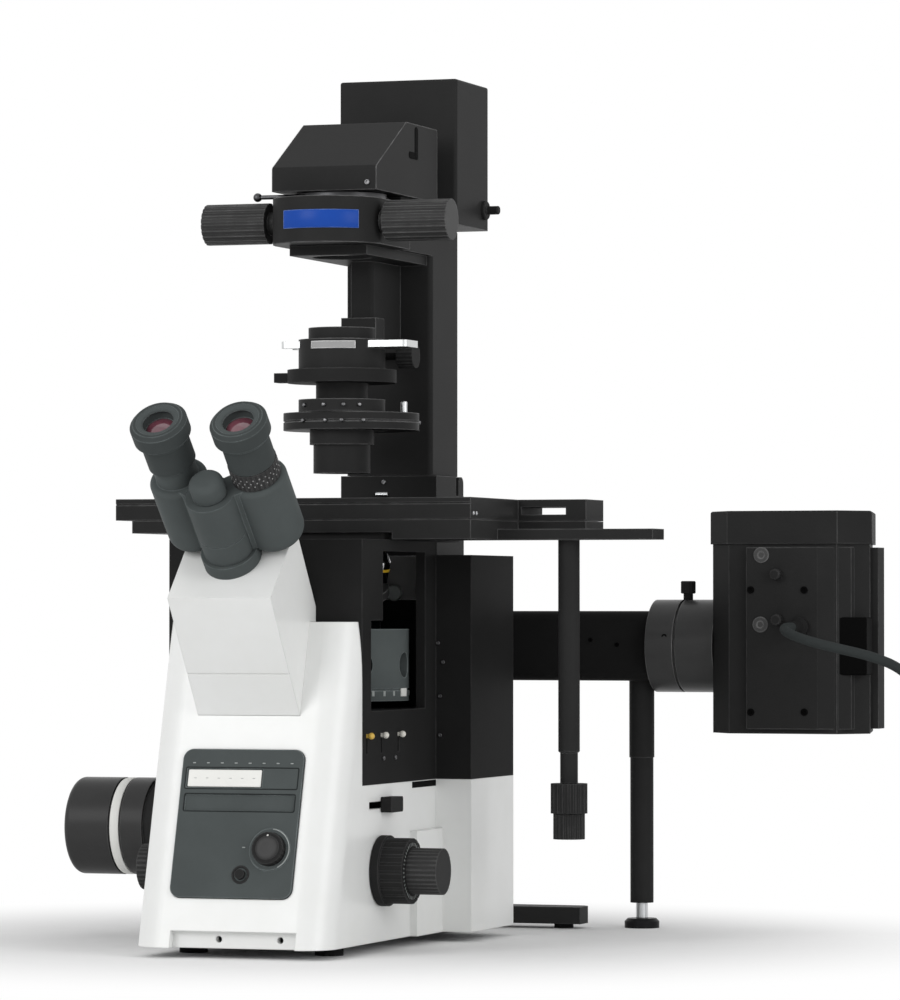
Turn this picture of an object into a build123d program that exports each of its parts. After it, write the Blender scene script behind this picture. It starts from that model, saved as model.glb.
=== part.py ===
from build123d import *
import math
import os

# Inverted research microscope with a tilting lamp pillar, a side camera and a fluorescence lamp.
# Millimetres. +X is the user's right, +Y points away from the user, +Z is up.
# The origin is where the vertical optical axis meets the table.

# General clearances
GAP = 0.3                  # moving faces that pass each other
SHAFT_GAP = 0.05           # radial clearance of a shaft in its bore
WALL = 6.0                 # castings and covers

# Lower body
FOOT_H = 8.0
BODY_HALF_W = 80.0
BODY_TOP_Z = 130.0
FRONT_TOE_Y = -256.0
FRONT_BROW_Y = -186.0
FRONT_TOP_Z = 256.0
FRONT_CORNER_R = 26.0
DECK_FRONT_Y = -172.0
SHOULDER_HALF_W = 110.0
SHOULDER_Y = 0.0
LEFT_SHOULDER_Y = 48.0
SHOULDER_BACK_Y = 107.0
TAIL_HALF_W = 60.0
TAIL_BACK_Y = 190.0
BASE_PLATE_T = 4.0
NOTCH_X = (-46.0, 56.0)
NOTCH_DEPTH = 10.0
NOTCH_HIGH_Z = 21.0
NOTCH_HOLE_X = (-9.0, 41.0)
NOTCH_HOLE_Z = 15.0
NOTCH_HOLE_R = 2.5
BOSS_T = 6.0
BOSS_Y = (-62.0, 1.0)
BOSS_HIGH_Z = 91.0
FRONT_FOOT_X = 56.0
FRONT_FOOT_Y = -180.0
FRONT_FOOT_R = 11.0
OUTRIGGER_HALF_L = 141.0
OUTRIGGER_W = 30.0
OUTRIGGER_T = 14.0
OUTRIGGER_CORNER_R = 10.0
REAR_FOOT_R = 8.0

# Upper frame around the nosepiece and the mirror turret
CASTING = 10.0
DECK_TOP_Z = 320.0
SHOULDER_TOP_Z = 309.0
CAVITY_FLOOR_Z = 187.0
DECK_WALL = 8.0
CAVITY_FRONT_Y = -118.0
WINDOW_FRONT_Y = -152.0
WINDOW_BACK_Y = -25.0
WINDOW_STEP_Z = 257.0
WINDOW_STEP_Y = -125.0

# Inclined viewing path: a mirror under the objective turns the beam up towards the user
TUBE_TILT = 45.0
MIRROR_Z = 64.0
TUBE_SEAT_Y = -240.0
BEAM_R = 17.0
TUBE_COVER_HALF_W = 42.0
TUBE_COVER_FRONT = 42.0
TUBE_COVER_BACK = 34.0
TUBE_COVER_LOW_Z = 184.0
TUBE_COVER_SEAM_Z = 216.0
TUBE_LENS_R = 21.0
TUBE_LENS_T = 9.0
TUBE_LENS_DEPTH = 22.0

# Binocular head, in the frame of the inclined tube
HINGE_PIN_R = 9.0
KNUCKLE_R = 19.5
FLANGE_R = 22.5
FLANGE_T = 11.0
LOW_KNUCKLE_TOP = 30.0
TUBE_BODY_LOW = 2.0
TUBE_BODY_TOP = 68.0
TUBE_BODY_ROUND = 12.0
CAP_R = 13.5
CAP_H = 16.0
EYE_SPACING = 64.5
EYE_RISE = 21.0
TUBE_BODY_R = 22.5
BRIDGE_W = 24.0
SLEEVE_R = 16.5
SLEEVE_TOP = 84.0
DIOPTER_R = 19.0
EYEPIECE_STEM_R = 15.0
EYEPIECE_BODY_R = 18.5
EYECUP_R = 22.3
EYECUP_H = 15.0
EYE_TOP = 126.0
EYE_LENS_R = 11.5

# Control panel on the sloping front
PANEL_HALF_W = 49.5
PANEL_LOW_Z = 46.0
PANEL_HIGH_Z = 158.0
PANEL_T = 4.0
PANEL_SUNK = 2.0
PANEL_CORNER_R = 8.0
CARD_W = 62.0
CARD_H = 15.0
CARD_T = 1.2
CARD_X = -14.0
CARD_Z = 136.0
TRAY_W = 90.0
TRAY_H = 13.0
TRAY_Z = 117.5
DIAL_X = 29.0
DIAL_Z = 82.5
DIAL_R = 13.0
DIAL_RING_R = 16.5
DIAL_H = 6.0
BUTTON_X = 7.0
BUTTON_Z = 63.5
BUTTON_R = 4.6
BUTTON_PROUD = 3.0
BUTTON_TRAVEL = 1.5

# Focus drive
FOCUS_Y = -130.0
FOCUS_Z = 63.0
RIM_R = 27.5
RIM_W = 7.0
COARSE_R = 25.5
COARSE_W = 19.0
FINE_R = 18.0
FINE_W = 25.0
FINE_LEFT_W = 11.0
COARSE_SHAFT_R = 9.0
FINE_SHAFT_R = 5.0
COARSE_RIBS = 24
FINE_RIBS = 30
FOCUS_RISE = 6.0
FOCUS_DROP = 4.0

# Nosepiece and objectives: every objective axis meets the tilted turning axis at one apex
NOSE_TILT = 15.0
NOSE_SEAT_L = 147.0
NOSE_SEAT_Z = 294.0
NOSE_RIM = 12.0
NOSE_LIP = 10.0
NOSE_T = 11.0
OBJECTIVE_R = 12.0
OBJECTIVE_TIP_R = 6.0
OBJECTIVE_LENGTHS = (38.0, 27.0, 30.0, 24.0, 29.0, 26.0)
CARRIAGE_T = 9.0
CARRIAGE_POST_W = 40.0
HUB_R = 17.0
HUB_SOCKET = 14.0
NOSE_PIN_R = 4.0

# Mirror turret
TURRET_Y = -35.0
TURRET_SPACE = 6.0
TURRET_BACK_SPACE = 5.0
TURRET_BAY = 22.0
TURRET_AXLE_LIFT = 34.0
TURRET_LOW_Z = 193.0
TURRET_HIGH_Z = 250.0
TURRET_SCALE_H = 9.0
TURRET_POSTS = 8
TURRET_AXLE_R = 10.0

# Side levers of the upper frame
LEVER_YS = (-161.0, -128.0, -89.0)
LEVER_Z = 168.0
LEVER_TRAVEL = 12.0
LEVER_R = 1.6
LEVER_BALL_R = 2.6
LEVER_REACH = 3.5

# Light path selector and its sliding prism
PORT_Z = 89.0
SELECTOR_Y = -117.5
SELECTOR_Z = 114.0
SELECTOR_TRAVEL = 36.0
SELECTOR_W = 27.0
SELECTOR_H = 12.0
SELECTOR_D = 9.0
SELECTOR_ROD_R = 2.5
PRISM_SIZE = 24.0

# Side camera on the left port
PORT_TUBE_R = 30.0
PORT_FLANGE_R = 37.0
PORT_FLANGE_T = 8.0
CAMERA_R = 39.5
CAMERA_START_X = -158.0
CAMERA_L = 69.0
CAMERA_BAND_X = 19.0
CAMERA_BAND_W = 10.5
CAMERA_ROUND = 5.0

# Stage: fixed base, Y plate with the drive handle, X plate with the specimen insert
STAGE_BASE_T = 5.5
STAGE_FRONT_Y = -110.0
STAGE_BACK_Y = 70.0
STAGE_LEFT_X = -151.0
STAGE_RIGHT_X = 147.0
STAGE_BASE_INSET = 4.0
STAGE_BASE_RAIL = 14.0
SKIRT_SPACE = 6.0
Y_PLATE_LEFT_X = -137.0
X_PLATE_RIM = 10.0
X_PLATE_WEB_T = 12.0
STAGE_HOLE_FRONT_Y = -94.0
STAGE_HOLE_BACK_Y = 54.0
Y_PLATE_T = 10.0
X_PLATE_T = 16.9
ARM_Y = -30.0
ARM_W = 30.0
ARM_RIGHT_X = 275.0
ARM_T = 8.4
GUIDE_RIGHT_X = 204.0
GUIDE_Y = 30.0
GUIDE_W = 46.0
TONGUE_SLOT_X = (150.0, 187.0)
HANDLE_X = 201.5
HANDLE_R = 8.5
HANDLE_NECK_R = 7.0
HANDLE_NECK_L = 24.0
HANDLE_LOW_Z = 129.0
Y_KNOB_R = 14.5
Y_KNOB_H = 23.5
X_KNOB_R = 12.5
X_KNOB_H = 20.0
STAGE_KNOB_RIBS = 20
KNOB_STEM_R = 3.0
KNOB_STEM_L = 60.0
INSERT_R = 55.0
INSERT_T = 3.2
INSERT_SHELF = 5.0
DISH_R = 17.75
DISH_WELL_WALL = 5.0
DISH_DEPTH = 9.0
DISH_FLOOR_T = 2.0
DISH_SIGHT_R = 12.5

# Lamp pillar
PILLAR_BASE_HALF_W = 42.0
PILLAR_FRONT_Y = 112.0
PILLAR_DEPTH = 69.0
PILLAR_HALF_W = 37.5
PILLAR_LOW_Z = 376.0
PILLAR_HIGH_Z = 580.0
PILLAR_CORNER_R = 4.0
PILLAR_PIN_R = 4.0
KNUCKLE_HALF_W = 18.0
RAIL_HALF_W = 10.0
CARRIAGE_WALL = 5.0
SADDLE_FRONT = 6.0
RAIL_FRONT_Y = 45.0
RAIL_LOW_Z = 474.0
ARM_LOW_Z = 549.0
ARM_PLATE_T = 8.0
ARM_PLATE_FRONT_Y = -32.0
ARM_PLATE_HALF_W = 33.0
DRUM_R = 45.0
DRUM_Y = -30.0
DRUM_HIGH_Z = 594.0
FIELD_LENS_R = 27.0
FIELD_LENS_T = 4.0
GRIP_R = 16.5
GRIP_L = 54.0
GRIP_NECK_R = 9.0
GRIP_NECK_L = 5.0
GRIP_RIBS = 20
HEAD_HALF_W = 44.5
HEAD_FRONT_Y = -42.0
HEAD_BACK_Y = 106.0
IRIS_SPACE = 6.0
HEAD_BROW_H = 19.0
HEAD_H = 60.0
HEAD_CREST_Y = 30.0
LAMP_HALF_W = 51.5
LAMP_FRONT_Y = 134.0
LAMP_BACK_Y = 218.0
LAMP_LOW_Z = 584.0
LAMP_HIGH_Z = 705.0
LAMP_CORNER_R = 3.0
LAMP_COLLAR_R = 22.0
IRIS_RING_R = 36.0
IRIS_LEVER_L = 62.0
IRIS_BALL_R = 3.6

# Condenser
COND_LOW_Z = 375.0
COND_NOSE_R = 23.0
COND_NOSE_H = 23.0
COND_COLLAR_R = 26.0
COND_COLLAR_H = 12.0
COND_TURRET_R = 55.0
COND_TURRET_Y = 22.0
COND_TURRET_H = 14.0
COND_DECK_R = 35.0
COND_DECK_H = 10.0
COND_NECK_R = 21.0
COND_NECK_H = 13.0
COND_IRIS_R = 44.0
COND_IRIS_H = 11.0
COND_IRIS_LEVER = 12.0
COND_HEAD_R = 35.0
COND_HEAD_H = 24.0
COND_CAP_R = 27.0
COND_CAP_H = 9.5
COND_AXLE_R = 6.0
COND_SIGHT_R = 13.0
SLIDER_H = 5.5
SLIDER_W = 30.0
SLIDER_L = 108.0
SLIDER_TRAVEL = 40.0
SLIDER_SHIFT = 8.0
COND_KNOB_R = 10.0
COND_KNOB_L = 14.0
COND_KNOB_RISE = 12.0
COND_SADDLE = 20.0

# Fluorescence lamp on its L-shaped tube behind the frame
ILLUM_Y = 228.0
ILLUM_W = 56.0
ILLUM_LOW_Z = 206.0
ILLUM_HIGH_Z = 264.0
ILLUM_LEFT_X = -35.0
ILLUM_RIGHT_X = 197.0
ILLUM_CORNER_R = 8.0
COUPLING_R = 38.5
COUPLING_L = 56.0
COUPLING_SLIT = 2.0
ARC_RIGHT_X = 390.0
ARC_DEPTH = 126.0
ARC_BEVEL = 22.0
ARC_BEVEL_DEPTH = 28.0
ARC_TAPER = 22.0
ARC_LOW_Z = 164.0
ARC_SPLIT_Z = 319.0
ARC_HIGH_Z = 346.0
ARC_BULB_BELOW = 18.0
ARC_BULB_ABOVE = 30.0
ARC_BULB_R = 5.0
ARC_HOLDER_R = 9.0
ARC_STEP = 2.0
ARC_PLATE_X = (292.0, 352.0)
ARC_PLATE_T = 3.0
ARC_WEDGE = 26.0
ARC_MODULE_X = (371.0, 394.0)
ARC_MODULE_Y = (198.0, 217.0)
LEG_X = 183.0
LEG_R = 10.5
LEG_LOW_Z = 21.0
LEG_JOINT_Z = 142.0
LEG_STUD_R = 5.0
LEG_STUD_L = 40.0
LEG_STUD_SPARE = 16.0
LEG_FOOT_R = 14.5
LEG_FOOT_T = 8.0

# Lamp cord: leaves the front plate, bends to the right, drops to the table and is coiled there
CORD_D = 8.0
GLAND_L = 24.0
GLAND_X = 337.0
GLAND_Z = 251.0
CORD_STEPS = (
    (0, 0, 0),
    (0, -26, 0),
    (9, -50, -4),
    (29, -66, -10),
    (54, -68, -16),
    (79, -58, -22),
    (99, -40, -31),
    (112, -21, -48),
    (118, -6, -73),
    (118, 4, -103),
    (115, 10, -137),
    (112, 15, -171),
    (110, 23, -201),
    (108, 38, -225),
)
COIL_X = 492.0
COIL_Y = 241.0
COIL_MEAN_R = 44.0
COIL_TURNS_WIDE = 3
COIL_TURNS_HIGH = 2
CONNECTOR_R = 11.0
CONNECTOR_L = 46.0
CONNECTOR_TAIL_R = 5.5
CONNECTOR_TAIL = 12.0


def block(x, y, z):
    """A box between three (low, high) pairs."""
    spans = (x, y, z)
    centre = [(low + high) / 2 for low, high in spans]
    return Pos(*centre) * Box(*[high - low for low, high in spans])


def rod(axis, centre, span, radius):
    """A cylinder along x, y or z; centre holds the other two coordinates in X, Y, Z order."""
    low, high = span
    middle = (low + high) / 2
    turned = {"x": Rot(0, 90, 0), "y": Rot(90, 0, 0), "z": Rot(0, 0, 0)}[axis]
    place = list(centre)
    place.insert("xyz".index(axis), middle)
    return Pos(*place) * turned * Cylinder(radius, high - low)


def lathe(profile):
    """Turns a closed (radius, height) outline about the Z axis."""
    outline = make_face(Polyline([(r, 0, h) for r, h in profile], close=True))
    return revolve(outline, Axis.Z)


def side_slab(profile, half_width):
    """A closed (y, z) outline, carried sideways to both sides of the middle plane."""
    outline = make_face(Polyline([(0, y, z) for y, z in profile], close=True))
    return extrude(outline, amount=half_width, dir=(1, 0, 0), both=True)


def plan_slab(profile, z):
    """A closed (x, y) outline, raised from the lower to the higher z."""
    outline = make_face(Polyline([(x, y, z[0]) for x, y in profile], close=True))
    return extrude(outline, amount=z[1] - z[0], dir=(0, 0, 1))


def ribbed(radius, length, ribs, depth):
    """A grip cylinder on Z, centred, with flutes cut along it."""
    flute = Cylinder(depth, length)
    return Cylinder(radius, length) - PolarLocations(radius + depth * 0.4, ribs) * flute


def upright_fillet(shape, radius):
    return fillet(shape.edges().filter_by(Axis.Z), radius)


# Derived places that several pieces share
front_lean = math.atan2(FRONT_BROW_Y - FRONT_TOE_Y, FRONT_TOP_Z - FOOT_H)
front_plane = Plane(
    origin=(0, FRONT_TOE_Y, FOOT_H),
    x_dir=(1, 0, 0),
    z_dir=(0, -math.cos(front_lean), math.sin(front_lean)),
)
tube_rad = math.radians(TUBE_TILT)
tube_seat_z = MIRROR_Z - TUBE_SEAT_Y * math.tan(tube_rad)
tube_plane = Plane(
    origin=(0, TUBE_SEAT_Y, tube_seat_z),
    x_dir=(1, 0, 0),
    z_dir=(0, -math.cos(tube_rad), math.sin(tube_rad)),
)
mirror_tilt = (90 - TUBE_TILT) / 2
nose_rad = math.radians(NOSE_TILT)
nose_apex_z = NOSE_SEAT_Z - NOSE_SEAT_L
nose_plane = Plane(
    origin=(0, 0, nose_apex_z),
    x_dir=(1, 0, 0),
    z_dir=(0, -math.sin(nose_rad), math.cos(nose_rad)),
)
cavity_half_w = BODY_HALF_W - DECK_WALL
turret_r = cavity_half_w - TURRET_SPACE
cavity_back_y = TURRET_Y + turret_r + TURRET_BACK_SPACE
stage_base_half_w = BODY_HALF_W - STAGE_BASE_INSET
stage_hole_half_w = stage_base_half_w - STAGE_BASE_RAIL
nose_r = NOSE_SEAT_L * math.sin(nose_rad) + NOSE_RIM
head_low_z = DRUM_HIGH_Z + IRIS_SPACE
head_brow_z = head_low_z + HEAD_BROW_H
head_high_z = head_low_z + HEAD_H
lamp_beam_z = (head_low_z + head_high_z) / 2
outrigger_y = TAIL_BACK_Y + OUTRIGGER_W / 2
rear_foot_x = OUTRIGGER_HALF_L - OUTRIGGER_W / 2 - 4.0
y_plate_low_z = DECK_TOP_Z + STAGE_BASE_T + GAP
x_plate_low_z = y_plate_low_z + Y_PLATE_T + GAP
stage_top_z = x_plate_low_z + X_PLATE_T
pillar_back_y = PILLAR_FRONT_Y + PILLAR_DEPTH
pillar_pin_z = PILLAR_LOW_Z - GAP - PILLAR_PIN_R - 2.0
pillar_pin_y = pillar_back_y - 7.0
illum_z = (ILLUM_LOW_Z + ILLUM_HIGH_Z) / 2
arc_left_x = ILLUM_RIGHT_X + COUPLING_L
arc_front_y = ILLUM_Y - ARC_DEPTH / 2
arc_plate_y = arc_front_y - ARC_PLATE_T
turret_low_z = COND_LOW_Z + COND_NOSE_H + COND_COLLAR_H
cond_deck_z = turret_low_z + COND_TURRET_H + GAP
cond_neck_z = cond_deck_z + COND_DECK_H
cond_iris_z = cond_neck_z + COND_NECK_H
cond_head_z = cond_iris_z + COND_IRIS_H + GAP
slider_z = cond_head_z + COND_HEAD_H - SLIDER_H - 1.5


def beam(radius):
    """The inclined viewing beam, from the mirror up to the tube seat."""
    length = (tube_seat_z - MIRROR_Z) / math.sin(tube_rad)
    return tube_plane.location * Pos(0, 0, -length / 2) * Cylinder(radius, length)


def body_plan(z, inset):
    """The stepped plan of the frame behind its front, narrowed by a wall where asked."""
    side = BODY_HALF_W - inset
    shoulder = SHOULDER_HALF_W - inset
    tail = TAIL_HALF_W - inset
    front = DECK_FRONT_Y + inset
    return plan_slab(
        [
            (-side, front),
            (side, front),
            (side, SHOULDER_Y + inset),
            (shoulder, SHOULDER_Y + inset),
            (shoulder, SHOULDER_BACK_Y - inset),
            (tail, SHOULDER_BACK_Y - inset),
            (tail, TAIL_BACK_Y - inset),
            (-tail, TAIL_BACK_Y - inset),
            (-tail, SHOULDER_BACK_Y - inset),
            (-shoulder, SHOULDER_BACK_Y - inset),
            (-shoulder, LEFT_SHOULDER_Y + inset),
            (-side, LEFT_SHOULDER_Y + inset),
        ],
        z,
    )


def on_front(x, z):
    """A place on the sloping front at this x and height, with its Z axis pointing outwards."""
    return front_plane.location * Pos(x, (z - FOOT_H) / math.cos(front_lean), 0)


def panel_slab(margin, thickness):
    height = (PANEL_HIGH_Z - PANEL_LOW_Z) / math.cos(front_lean)
    slab = Box(2 * (PANEL_HALF_W + margin), height + 2 * margin, thickness)
    slab = upright_fillet(slab, PANEL_CORNER_R + margin)
    return on_front(0, (PANEL_LOW_Z + PANEL_HIGH_Z) / 2) * Pos(0, 0, thickness / 2 - PANEL_SUNK) * slab


def base_shell():
    """White lower housing: one hollow casting, open below, with a sloping front."""
    front = side_slab(
        [
            (FRONT_TOE_Y, FOOT_H),
            (DECK_FRONT_Y, FOOT_H),
            (DECK_FRONT_Y, FRONT_TOP_Z),
            (FRONT_BROW_Y, FRONT_TOP_Z),
        ],
        BODY_HALF_W,
    )
    sides = [e for e in front.edges() if abs(e.center().X) > BODY_HALF_W - 1]
    sides = [e for e in sides if e.center().Y < FRONT_BROW_Y]
    sloping = [e for e in sides if e.bounding_box().size.Z > FRONT_TOP_Z / 2]
    front = fillet(sloping, FRONT_CORNER_R)
    lean_y = WALL / math.cos(front_lean)
    hollow = side_slab(
        [
            (FRONT_TOE_Y + lean_y, FOOT_H),
            (DECK_FRONT_Y + WALL, FOOT_H),
            (DECK_FRONT_Y + WALL, BODY_TOP_Z - WALL),
            (FRONT_TOE_Y + lean_y + (BODY_TOP_Z - WALL - FOOT_H) * math.tan(front_lean), BODY_TOP_Z - WALL),
        ],
        BODY_HALF_W - WALL,
    )
    inner = [e for e in hollow.edges() if abs(e.center().X) > BODY_HALF_W - WALL - 1]
    inner = [e for e in inner if e.center().Y < FRONT_BROW_Y]
    inner = [e for e in inner if e.bounding_box().size.Z > BODY_TOP_Z / 2]
    hollow = fillet(inner, FRONT_CORNER_R - WALL)
    shell = front + body_plan((FOOT_H, BODY_TOP_Z), 0)
    shell += block((BODY_HALF_W - 1, BODY_HALF_W + BOSS_T), BOSS_Y, (FOOT_H, BOSS_HIGH_Z))
    shell -= hollow + body_plan((FOOT_H, BODY_TOP_Z - WALL), WALL)
    shell += block(
        (NOTCH_X[0] - WALL, NOTCH_X[1] + WALL),
        (FRONT_TOE_Y + 8.0, FRONT_TOE_Y + NOTCH_DEPTH + WALL),
        (FOOT_H, NOTCH_HIGH_Z + WALL),
    )
    shell -= panel_slab(GAP, PANEL_T)
    shell -= block(NOTCH_X, (FRONT_TOE_Y, FRONT_TOE_Y + NOTCH_DEPTH), (FOOT_H, NOTCH_HIGH_Z))
    hole_y = (FRONT_TOE_Y, FRONT_TOE_Y + 2 * WALL + NOTCH_DEPTH)
    for x in NOTCH_HOLE_X:
        shell -= rod("y", (x, NOTCH_HOLE_Z), hole_y, NOTCH_HOLE_R)
    shell -= beam(BEAM_R)
    shell -= rod("z", (0, 0), (MIRROR_Z, BODY_TOP_Z), BEAM_R)
    shell -= rod("x", (0, PORT_Z), (-SHOULDER_HALF_W, 0), BEAM_R)
    shell -= rod("x", (FOCUS_Y, FOCUS_Z), (-BODY_HALF_W, BODY_HALF_W), COARSE_SHAFT_R + SHAFT_GAP)
    slot_y = (SELECTOR_Y - SELECTOR_TRAVEL - SELECTOR_ROD_R - GAP, SELECTOR_Y + SELECTOR_ROD_R + GAP)
    slot_z = (SELECTOR_Z - SELECTOR_ROD_R - GAP, SELECTOR_Z + SELECTOR_ROD_R + GAP)
    shell -= block((0, BODY_HALF_W), slot_y, slot_z)
    shell -= on_front(DIAL_X, DIAL_Z) * Cylinder(4.0, 4 * WALL)
    shell -= on_front(BUTTON_X, BUTTON_Z) * Cylinder(BUTTON_R, 4 * WALL)
    return shell


def base_plate():
    """Bottom cover that closes the lower housing."""
    toe = FRONT_TOE_Y + NOTCH_DEPTH + WALL + GAP
    side = BODY_HALF_W - WALL - GAP
    plate = body_plan((FOOT_H, FOOT_H + BASE_PLATE_T), WALL + GAP)
    front = block((-side, side), (toe, DECK_FRONT_Y + WALL + 1), (FOOT_H, FOOT_H + BASE_PLATE_T))
    corners = [e for e in front.edges().filter_by(Axis.Z) if e.center().Y < toe + 1]
    return plate + fillet(corners, FRONT_CORNER_R - WALL)


def rubber_feet():
    """Four feet: two under the front of the housing, two under the ends of the outrigger."""
    front = [rod("z", (x, FRONT_FOOT_Y), (0, FOOT_H), FRONT_FOOT_R) for x in (-FRONT_FOOT_X, FRONT_FOOT_X)]
    rear = [rod("z", (x, outrigger_y), (0, FOOT_H / 2), REAR_FOOT_R) for x in (-rear_foot_x, rear_foot_x)]
    return Compound(children=front + rear)


def rear_outrigger():
    """Cross bar behind the housing that keeps the tilting pillar from tipping it."""
    low = FOOT_H / 2
    bar = block(
        (-OUTRIGGER_HALF_L, OUTRIGGER_HALF_L),
        (TAIL_BACK_Y, TAIL_BACK_Y + OUTRIGGER_W),
        (low, low + OUTRIGGER_T),
    )
    ends = [e for e in bar.edges().filter_by(Axis.Z) if e.center().Y > outrigger_y]
    return fillet(ends, OUTRIGGER_CORNER_R)


def main_mirror():
    """Mirror on a wedge: it turns the beam from straight down to up along the viewing tube."""
    half = BEAM_R + 5.0
    floor = FOOT_H + BASE_PLATE_T
    lean = math.tan(math.radians(mirror_tilt))
    return side_slab(
        [
            (-half, floor),
            (half, floor),
            (half, MIRROR_Z + half * lean),
            (-half, MIRROR_Z - half * lean),
        ],
        half,
    )


def control_panel():
    """Dark panel with a seat for the magnification card, a tray slot, a dial ring and a button hole."""
    panel = panel_slab(0, PANEL_T)
    face = PANEL_T - PANEL_SUNK
    panel -= on_front(CARD_X, CARD_Z) * Pos(0, 0, face) * Box(CARD_W, CARD_H, 2 * CARD_T)
    panel -= on_front(0, TRAY_Z) * Pos(0, 0, face) * Box(TRAY_W, TRAY_H, 2 * CARD_T)
    ring = Cylinder(DIAL_RING_R, CARD_T) - Cylinder(DIAL_R + GAP, CARD_T)
    panel += on_front(DIAL_X, DIAL_Z) * Pos(0, 0, face + CARD_T / 2) * ring
    panel -= on_front(DIAL_X, DIAL_Z) * Cylinder(3.0 + SHAFT_GAP, 6 * PANEL_T)
    panel -= on_front(BUTTON_X, BUTTON_Z) * Cylinder(BUTTON_R - 0.6, 6 * PANEL_T)
    return panel


def brightness_dial():
    """Lamp brightness dial on its spindle, with a finger notch."""
    face = PANEL_T - PANEL_SUNK
    dial = Pos(0, 0, face + GAP + DIAL_H / 2) * ribbed(DIAL_R - 0.4, DIAL_H, 24, 0.6)
    dial = dial + Pos(0, 0, 0) * Cylinder(3.0, 2 * (face + GAP + 1.0))
    notch = Pos(0, DIAL_R - 3.0, face + GAP + DIAL_H) * Cylinder(1.4, 2.0)
    return on_front(DIAL_X, DIAL_Z) * (dial - notch)


def panel_button():
    """Push button, guided in the panel, that stands proud by its travel and a little more."""
    face = PANEL_T - PANEL_SUNK
    stem = BUTTON_R - 0.6 - SHAFT_GAP
    length = BUTTON_PROUD + PANEL_T + BUTTON_TRAVEL
    return on_front(BUTTON_X, BUTTON_Z) * Pos(0, 0, face + BUTTON_PROUD - length / 2) * Cylinder(stem, length)


def deck_frame():
    """Black upper frame: front block, side walls, shoulders and tail, hollow round the turrets."""
    low = BODY_TOP_Z
    deck = body_plan((low, SHOULDER_TOP_Z), 0)
    deck += block((-BODY_HALF_W, BODY_HALF_W), (DECK_FRONT_Y, SHOULDER_Y), (low, DECK_TOP_Z))
    cavity_x = (-cavity_half_w, cavity_half_w)
    deck -= block(cavity_x, (CAVITY_FRONT_Y, cavity_back_y), (CAVITY_FLOOR_Z, DECK_TOP_Z))
    pocket_x = (cavity_half_w - 14.0, BODY_HALF_W)
    deck -= block(pocket_x, (WINDOW_FRONT_Y, WINDOW_BACK_Y), (CAVITY_FLOOR_Z, WINDOW_STEP_Z))
    deck -= block(pocket_x, (WINDOW_STEP_Y, WINDOW_BACK_Y), (WINDOW_STEP_Z - 1, DECK_TOP_Z - 9.0))
    back_y = cavity_back_y + CARRIAGE_T + CASTING
    deck -= block(
        (-SHOULDER_HALF_W + CASTING, SHOULDER_HALF_W - CASTING),
        (max(back_y, LEFT_SHOULDER_Y + CASTING), SHOULDER_BACK_Y - CASTING),
        (low, SHOULDER_TOP_Z - CASTING),
    )
    deck -= block(
        (-TAIL_HALF_W + CASTING, TAIL_HALF_W - CASTING),
        (SHOULDER_BACK_Y - CASTING - 1, TAIL_BACK_Y - CASTING),
        (low, SHOULDER_TOP_Z - CASTING),
    )
    deck -= block(
        (-cavity_half_w + 4.0, cavity_half_w - 4.0),
        (CAVITY_FRONT_Y, cavity_back_y),
        (low, CAVITY_FLOOR_Z - CASTING),
    )
    deck += rod("z", (0, TURRET_Y), (low + 24.0, CAVITY_FLOOR_Z - 1), TURRET_AXLE_R + CASTING / 2)
    deck -= beam(BEAM_R)
    deck -= rod("z", (0, 0), (low, CAVITY_FLOOR_Z), BEAM_R)
    deck -= rod("y", (0, illum_z), (cavity_back_y, TAIL_BACK_Y), BEAM_R - 2)
    deck -= rod("z", (0, TURRET_Y), (low + 30.0, CAVITY_FLOOR_Z), TURRET_AXLE_R + SHAFT_GAP)
    for y in LEVER_YS:
        slot_z = (LEVER_Z - LEVER_TRAVEL - LEVER_R - GAP, LEVER_Z + LEVER_R + GAP)
        slot_y = (y - LEVER_R - GAP, y + LEVER_R + GAP)
        deck -= block((BODY_HALF_W - 8.0, BODY_HALF_W), slot_y, slot_z)
    post = CARRIAGE_POST_W / 2 + GAP
    post_y = (cavity_back_y, cavity_back_y + CARRIAGE_T + 2 * GAP)
    deck -= block((-post, post), post_y, (CAVITY_FLOOR_Z, SHOULDER_TOP_Z))
    return deck


def filter_lever(y):
    """Small lever with a ball tip that slides down in its slot."""
    root_x = BODY_HALF_W - 8.0 + GAP
    tip_x = BODY_HALF_W + LEVER_REACH
    stem = rod("x", (y, LEVER_Z), (root_x, tip_x), LEVER_R)
    return stem + Pos(tip_x, y, LEVER_Z) * Sphere(LEVER_BALL_R)


def port_selector():
    """Selector knob on a rod, with the prism that it slides forward into the beam for the side port."""
    knob_x = (BODY_HALF_W + GAP, BODY_HALF_W + GAP + SELECTOR_D)
    knob = block(
        knob_x,
        (SELECTOR_Y - SELECTOR_W / 2, SELECTOR_Y + SELECTOR_W / 2),
        (SELECTOR_Z - SELECTOR_H / 2, SELECTOR_Z + SELECTOR_H / 2),
    )
    knob = fillet(knob.edges().filter_by(Axis.X), 2.0)
    bar_x = BODY_HALF_W - WALL - 12.0
    link = rod("x", (SELECTOR_Y, SELECTOR_Z), (bar_x, knob_x[0] + 1.0), SELECTOR_ROD_R)
    half = PRISM_SIZE / 2
    low = PORT_Z - half
    prism_y = (SELECTOR_TRAVEL - half, SELECTOR_TRAVEL + half)
    reach = block((bar_x - 8.0, bar_x), (SELECTOR_Y - 6.0, prism_y[1]), (low, SELECTOR_Z + 4.0))
    bridge = block((half - 1, bar_x - 7.0), prism_y, (low, low + 6.0))
    prism = block((-half, half), prism_y, (low, PORT_Z + half))
    return knob + link + reach + bridge + prism


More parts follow.
